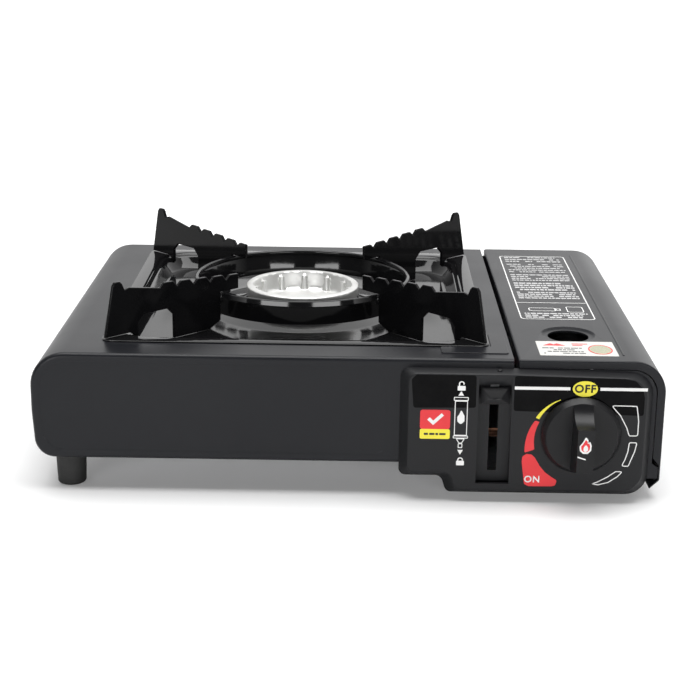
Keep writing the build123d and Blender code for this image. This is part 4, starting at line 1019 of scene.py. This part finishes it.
# a plain red and yellow sticker with a tick and dashes
on_panel([box_outline(38.8, 41.9, 54.8, 52.7)], "sticker_red", red_ink, corner=1.5)
on_panel([box_outline(38.8, 36.4, 54.8, 41.9)], "sticker_yellow", yellow_ink, corner=1.0)
tick = [(42.6, 47.2), (43.9, 48.5), (45.8, 46.7), (50.2, 50.9), (51.4, 49.6), (45.8, 44.2)]
on_panel([tick], "sticker_tick", white_ink, layer=OVER)
dashes = [(41.0, 43.2), (43.9, 46.6), (47.2, 48.6), (49.2, 52.6)]
dash_outlines = [box_outline(x0, 38.6, x1, 39.7) for x0, x1 in dashes]
on_panel(dash_outlines, "sticker_dashes", black_ink, layer=OVER)

# lever print: a cartridge drawn in lines between two arrows, open and closed padlocks
lines = [
    [(56.4, 58.0), (64.2, 58.0), (64.2, 60.1), (56.4, 60.1)],
    [(57.0, 38.4), (63.9, 38.4), (63.9, 58.0), (57.0, 58.0)],
    [(56.5, 36.8), (64.5, 36.8), (64.5, 38.4), (56.5, 38.4)],
    [(58.0, 36.8), (59.7, 34.0), (61.4, 34.0), (63.0, 36.8)],
    [(59.3, 31.4), (61.7, 31.4), (61.7, 34.0), (59.3, 34.0)],
]
on_panel(lines, "lever_cartridge", white_ink, line=0.42, corner=0.5)
flame = [(60.5, 53.0), (62.3, 49.6), (62.4, 46.6), (60.5, 44.6), (58.6, 46.4), (58.5, 48.9)]
flame += [(59.6, 50.6)]
on_panel([flame], "lever_flame", white_ink, corner=1.2)
arrow_up = [(58.7, 60.9), (61.7, 60.9), (60.2, 63.4)]
arrow_down = [(59.1, 30.3), (62.1, 30.3), (60.6, 27.6)]
on_panel([arrow_up, arrow_down], "lever_arrows", white_ink)


LOCK_HALF, BOW_HALF, BOW_RISE = 2.1, 1.5, 1.3


def padlock(x, z, lift):
    """Padlock glyph: a solid body and a bow, lifted on one side when it is open."""
    body_part = box_outline(x - LOCK_HALF, z - 1.9, x + LOCK_HALF, z + 0.7, 0.4)
    bow, inner = [], []
    for k in range(13):
        angle = math.radians(180 - k * 15)
        px = x + BOW_HALF * math.cos(angle)
        pz = z + BOW_RISE + lift + BOW_RISE * math.sin(angle)
        bow.append((px, pz))
        rise = (pz - z - BOW_RISE - lift) * 0.55
        inner.append((x + (px - x) * 0.58, z + BOW_RISE + lift + rise))
    low = z + 0.8 + (0.7 if lift else 0.0)
    outline = [(bow[0][0], z + 0.6)] + bow + [(bow[-1][0], low), (inner[-1][0], low)]
    outline += inner[::-1] + [(inner[0][0], z + 0.6)]
    return [body_part, outline]


on_panel(padlock(60.3, 65.6, 0.7), "lever_padlock_open", white_ink)
on_panel(padlock(60.8, 23.4, 0.0), "lever_padlock_closed", white_ink)

# flame and pointer on the knob's grip
GRIP_INK = 0.00004
grip_flame = [(124.2, 46.2), (125.6, 44.4), (125.5, 42.8), (126.6, 43.6), (127.4, 41.4)]
grip_flame += [(127.2, 38.6), (125.6, 36.8), (123.1, 36.8), (121.4, 38.4), (121.1, 41.0)]
grip_flame += [(122.4, 42.6), (123.4, 44.4)]
heart = shrunk(grip_flame, 124.3, 40.6, 0.74)
core = [(124.4, 42.0), (125.6, 40.2), (125.6, 38.6), (124.3, 37.7), (123.1, 38.6)]
core += [(123.3, 40.2)]
for outline, name, material, lift in [
    (grip_flame, "grip_flame_edge", white_ink, 0.0),
    (heart, "grip_flame", red_ink, 0.00004),
    (core, "grip_flame_core", white_ink, 0.00008),
]:
    printed(
        [millimetres(round_corners(outline, 0.9))],
        name,
        on_face(knob_low.y - GRIP_INK / 2 + lift * 0.2),
        material,
        "knob",
        "knob_plastic",
        thickness=GRIP_INK + lift,
    )
printed(
    [millimetres([(120.4, 35.3), (124.7, 33.9), (124.7, 33.2), (120.4, 34.5)])],
    "grip_pointer",
    on_face(knob_low.y),
    white_ink,
    "knob",
    "knob_plastic",
    thickness=GRIP_INK,
)

# ------------------------------------------------------------------ print on the lid
def on_lid(outlines, name, material, line=0.0, corner=0.0, lift=0.0):
    """Printed shapes on the lid's top, in millimetres of X and Y."""
    face = on_top(lid_top + GROUND + lift)
    return print_on(outlines, name, face, material, "lid", "body_steel", line, corner)


LID_X0, LID_X1, LID_Y0, LID_Y1, LID_SPLIT = 99.5, 143.0, -33.75, 121.25, 2.25
LID_LINE = 0.7
lid_frame = box_outline(LID_X0, LID_Y0, LID_X1, LID_Y1)
on_lid([lid_frame], "lid_print_frame", white_ink, LID_LINE, corner=3.5)
lid_rule = box_outline(LID_X0 + 0.5, LID_SPLIT, LID_X1 - 0.5, LID_SPLIT + LID_LINE)
on_lid([lid_rule], "lid_print_rule", white_ink)


def draws(state):
    """Endless even draws between 0 and 1, the same on each run."""
    while True:
        state = (state * 1103515245 + 12345) % 2147483648
        yield state / 2147483648


SHORTEST_BAR, BAR_SPREAD, BAR_GAP = 1.0, 3.2, 0.55


def print_rows(rows, x0, x1, seed, name, material, lift=0.0):
    """Rows of short bars with uneven lengths and gaps: (y, bar height, share filled)."""
    draw = draws(seed)
    bars = []
    for y, height, share in rows:
        x = x0
        while x < x1 - SHORTEST_BAR:
            length = SHORTEST_BAR + BAR_SPREAD * next(draw)
            if next(draw) < share:
                bars.append(box_outline(x, y, min(x + length, x1), y + height))
            x += length + BAR_GAP
    return on_lid(bars, name, material, lift=lift)


# blocks of rows: start behind the frame's back edge, step, bar height, share, how many rows
blocks = [
    (5.0, 5.4, 2.3, 0.86, 3),
    (24.0, 5.0, 2.0, 0.8, 5),
    (52.0, 4.6, 2.2, 0.88, 4),
    (74.0, 5.2, 3.0, 0.9, 4),
    (96.0, 4.4, 2.4, 0.92, 4),
]
rows = []
for start, step, height, share, count in blocks:
    rows += [(LID_Y1 - start - step * k, height, share) for k in range(count)]
rows += [(LID_Y0 + 3.0 + 4.0 * k, 2.4, 0.85) for k in range(3)]
print_rows(rows, LID_X0 + 3.2, LID_X1 - 3.2, 7, "lid_print_rows", worn_white)

# how-to drawing in lines: a cartridge with a short stub at its end and a tray, all plain
# shapes
on_lid(
    [
        box_outline(106.0, -16.0, 122.0, -9.0, 2.0),
        box_outline(122.0, -14.6, 125.0, -10.4, 0.6),
        box_outline(128.5, -18.0, 138.5, -6.0, 1.5),
    ],
    "lid_print_drawing",
    white_ink,
    0.6,
)

on_lid([box_outline(103.0, -104.75, 145.3, -78.2)], "lid_sticker", sticker_paper, corner=0.8)
LIFT = 0.0001  # of the print on the sticker, over the lid's print
on_lid(
    [
        [(106.5, -86.4), (110.5, -82.4), (112.4, -84.4), (114.3, -82.4), (118.5, -86.4)],
        box_outline(122.5, -83.6, 131.0, -82.4),
        box_outline(122.5, -86.2, 128.0, -85.2),
    ],
    "lid_sticker_red",
    red_ink,
    lift=LIFT,
)
print_rows(
    [(-91.6, 1.3, 0.75), (-94.8, 1.3, 0.8), (-98.0, 1.3, 0.75), (-101.2, 1.3, 0.7)],
    105.5,
    128.0,
    19,
    "lid_sticker_rows",
    faded_ink,
    LIFT,
)
DISC_X, DISC_Y = 136.8, -93.2
disc = ellipse(DISC_X, DISC_Y, 6.6, 8.6, 40)
on_lid([disc], "lid_sticker_disc", pale_green, lift=LIFT)
on_lid([disc], "lid_sticker_disc_edge", red_ink, 0.7, lift=1.6 * LIFT)

# weave of fine lines on the sticker's disc
WEAVE_HALF, WEAVE_STEP, WEAVE_LINE = 5.6, 1.6, 0.3
weave = []
for k in range(-4, 5):
    half = WEAVE_HALF * math.sqrt(max(1.0 - (k / 5.0) ** 2, 0.0))
    y = DISC_Y + WEAVE_STEP * k
    weave.append(box_outline(DISC_X - half, y, DISC_X + half, y + WEAVE_LINE))
on_lid(weave, "lid_sticker_weave", faded_ink, lift=1.3 * LIFT)

# raised crease along the lid's right side, and a rivet on the panel's top
CREASE_HEIGHT, CREASE_BEVEL, CREASE_BEVEL_FROM = 0.0006, 0.00028, 0.9
crease_outline = millimetres(box_outline(147.4, -103.0, 148.6, 126.5, 0.5))
crease = plate(crease_outline, "lid_crease", CREASE_HEIGHT, on_top(lid_top))
modify(
    crease,
    "BEVEL",
    width=CREASE_BEVEL,
    segments=3,
    limit_method="ANGLE",
    angle_limit=CREASE_BEVEL_FROM,
)
give(weighted(smooth(crease, 60)), baked_paint, "lid", slot="body_steel")
rivet_profile = [(0.0, -0.0004), (0.0014, -0.0004), (0.0014, 0.00015), (0.0011, 0.0004)]
rivet_profile += [(0.0004, 0.00052), (0.0, 0.00052)]
RIVET_AT = Vector((80.6 * MM, -116.8 * MM, 0))
rivet_points = [(r, panel_high.z + z) for r, z in rivet_profile]
rivet = turned(rivet_points, "panel_rivet", RIVET_AT, 32)
give(smooth(rivet, 40), knob_satin, "root", slot="panel_plastic")

# ------------------------------------------------------------------ pressed pad on the body
PAD_HEIGHT, PAD_BEVEL, PAD_LIFT = 0.0009, 0.0004, 0.0001
PAD_BEVEL_FROM = math.radians(50)
pad_outline = [(50, -103.6), (86.4, -103.6), (86.4, -66), (77.5, -66), (77.5, -92.3)]
pad_outline += [(50, -92.3)]
pad_points = millimetres(round_corners(pad_outline, 2.0))
pad = plate(pad_points, "pressed_pad", PAD_HEIGHT, on_top(body_top + PAD_LIFT))
modify(
    pad, "BEVEL", width=PAD_BEVEL, segments=3, limit_method="ANGLE", angle_limit=PAD_BEVEL_FROM
)
smooth(pad, 60)
give(weighted(pad), baked_paint, "root", slot="body_steel")

# ------------------------------------------------------------------ floor, light and camera
FLOOR_SIDE = 9.0
bpy.ops.mesh.primitive_plane_add(size=1.0, location=(0, 0, 0))
floor = name_it(bpy.context.object, "studio_floor")
edit_all(floor, "FACE")
bpy.ops.transform.resize(value=(FLOOR_SIDE, FLOOR_SIDE, 1.0))
bpy.ops.mesh.subdivide(number_cuts=8)
leave(floor)
settle(floor)


def floor_white():
    """White table: true paint that keeps the shadow, lifted to white for what sees it by a
    painted glow that is weak near the stove and full white further out.
    """
    material = finish_of(
        "floor_white",
        (0.8, 0.8, 0.8),
        (0.82, 0.82, 0.82),
        (2.0, 0.7, 0.8),
        (300.0, 0.00001, 0.0),
        drift=1.0,
    )
    tree = material.node_tree
    shader = tree.nodes["Principled BSDF"]
    out = tree.nodes["Material Output"]
    ray = add_node(tree, "ShaderNodeLightPath")
    glow = add_node(tree, "ShaderNodeEmission")
    both = add_node(tree, "ShaderNodeAddShader")
    place = add_node(tree, "ShaderNodeTexCoord")
    away = add_node(tree, "ShaderNodeVectorMath", operation="LENGTH")
    # painted light: the glow seen by the camera grows from weak near the stove to full white
    # further out
    fade = add_node(
        tree,
        "ShaderNodeMapRange",
        interpolation_type="SMOOTHSTEP",
        From_Min=0.3,
        From_Max=1.1,
        To_Min=0.12,
        To_Max=1.0,
    )
    lift = add_node(tree, "ShaderNodeMath", operation="MULTIPLY")
    tree.links.new(place.outputs["Object"], away.inputs[0])
    tree.links.new(away.outputs["Value"], fade.inputs["Value"])
    tree.links.new(fade.outputs["Result"], lift.inputs[1])
    tree.links.new(ray.outputs["Is Camera Ray"], lift.inputs[0])
    tree.links.new(lift.outputs[0], glow.inputs["Strength"])
    tree.links.new(shader.outputs[0], both.inputs[0])
    tree.links.new(glow.outputs[0], both.inputs[1])
    tree.links.new(both.outputs[0], out.inputs["Surface"])
    return material


floor.data.materials.append(floor_white())


def light_world():
    """White surroundings, dimmer to the front and left; plain white where they are seen."""
    world = bpy.data.worlds.new("studio")
    world.use_nodes = True
    tree = world.node_tree
    sky = tree.nodes["Background"]
    place = add_node(tree, "ShaderNodeTexCoord")
    axes = add_node(tree, "ShaderNodeSeparateXYZ")
    back = add_node(
        tree, "ShaderNodeMapRange", From_Min=-0.35, From_Max=0.3, To_Min=0.08, To_Max=1.0
    )
    across = add_node(
        tree, "ShaderNodeMapRange", From_Min=-0.4, From_Max=0.4, To_Min=0.85, To_Max=1.3
    )
    spread = add_node(tree, "ShaderNodeMath", operation="MULTIPLY")
    ray = add_node(tree, "ShaderNodeLightPath")
    seen = add_node(tree, "ShaderNodeMix", data_type="FLOAT")
    tree.links.new(place.outputs["Generated"], axes.inputs[0])
    tree.links.new(axes.outputs["Y"], back.inputs["Value"])
    tree.links.new(ray.outputs["Is Camera Ray"], seen.inputs["Factor"])
    tree.links.new(axes.outputs["X"], across.inputs["Value"])
    tree.links.new(back.outputs["Result"], spread.inputs[0])
    tree.links.new(across.outputs["Result"], spread.inputs[1])
    tree.links.new(spread.outputs[0], seen.inputs[2])
    seen.inputs[3].default_value = 1.0
    tree.links.new(seen.outputs[0], sky.inputs["Strength"])
    sky.inputs["Color"].default_value = (1, 1, 1, 1)
    bpy.context.scene.world = world


light_world()


def softbox(name, place, aim, width, depth, power):
    """Rectangular lamp at a place, turned towards a point."""
    bpy.ops.object.light_add(type="AREA", location=place)
    lamp = bpy.context.object
    lamp.name = name
    lamp.data.shape = "RECTANGLE"
    lamp.data.size = width
    lamp.data.size_y = depth
    lamp.data.energy = power
    lamp.rotation_euler = (Vector(aim) - Vector(place)).to_track_quat("-Z", "Y").to_euler()
    return lamp


FRONT_AIM = (-0.03, 0.02, 0.08)
FRONT_BOX = (0.86, 0.28, 6.4)  # width, height and power
softbox("softbox_left", (-0.8, -1.52, 0.36), FRONT_AIM, *FRONT_BOX)
softbox("softbox_right", (0.74, -1.52, 0.36), FRONT_AIM, *FRONT_BOX)
softbox("softbox_top", (0.0, -0.1, 1.8), (0, 0, 0.05), 1.8, 1.2, 36.0)


CAMERA_TURN = (17.064, -0.307, 0.764)  # degrees down, to the side and rolled
CAMERA_AT = (5.244, -893.938, 322.179)  # millimetres
CAMERA_LENS, SENSOR = 79.27, 36.0


def set_camera():
    """Camera in front of the stove, looking a little down on it."""
    down, yaw, roll = (math.radians(v) for v in CAMERA_TURN)
    ahead = Vector(
        (math.sin(yaw) * math.cos(down), math.cos(yaw) * math.cos(down), -math.sin(down))
    )
    side = Vector((math.cos(yaw), -math.sin(yaw), 0))
    above = side.cross(ahead)
    right = side * math.cos(roll) + above * math.sin(roll)
    up = -side * math.sin(roll) + above * math.cos(roll)
    bpy.ops.object.camera_add(location=(0, 0, 0))
    camera = bpy.context.object
    camera.data.lens = CAMERA_LENS
    camera.data.sensor_width = SENSOR
    camera.data.clip_start = 0.01
    camera.data.clip_end = 50.0
    place = Matrix((right, up, -ahead)).transposed().to_4x4()
    place.translation = Vector(CAMERA_AT) * MM
    camera.matrix_world = place
    bpy.context.scene.camera = camera


set_camera()
bpy.context.scene.view_settings.view_transform = "Standard"
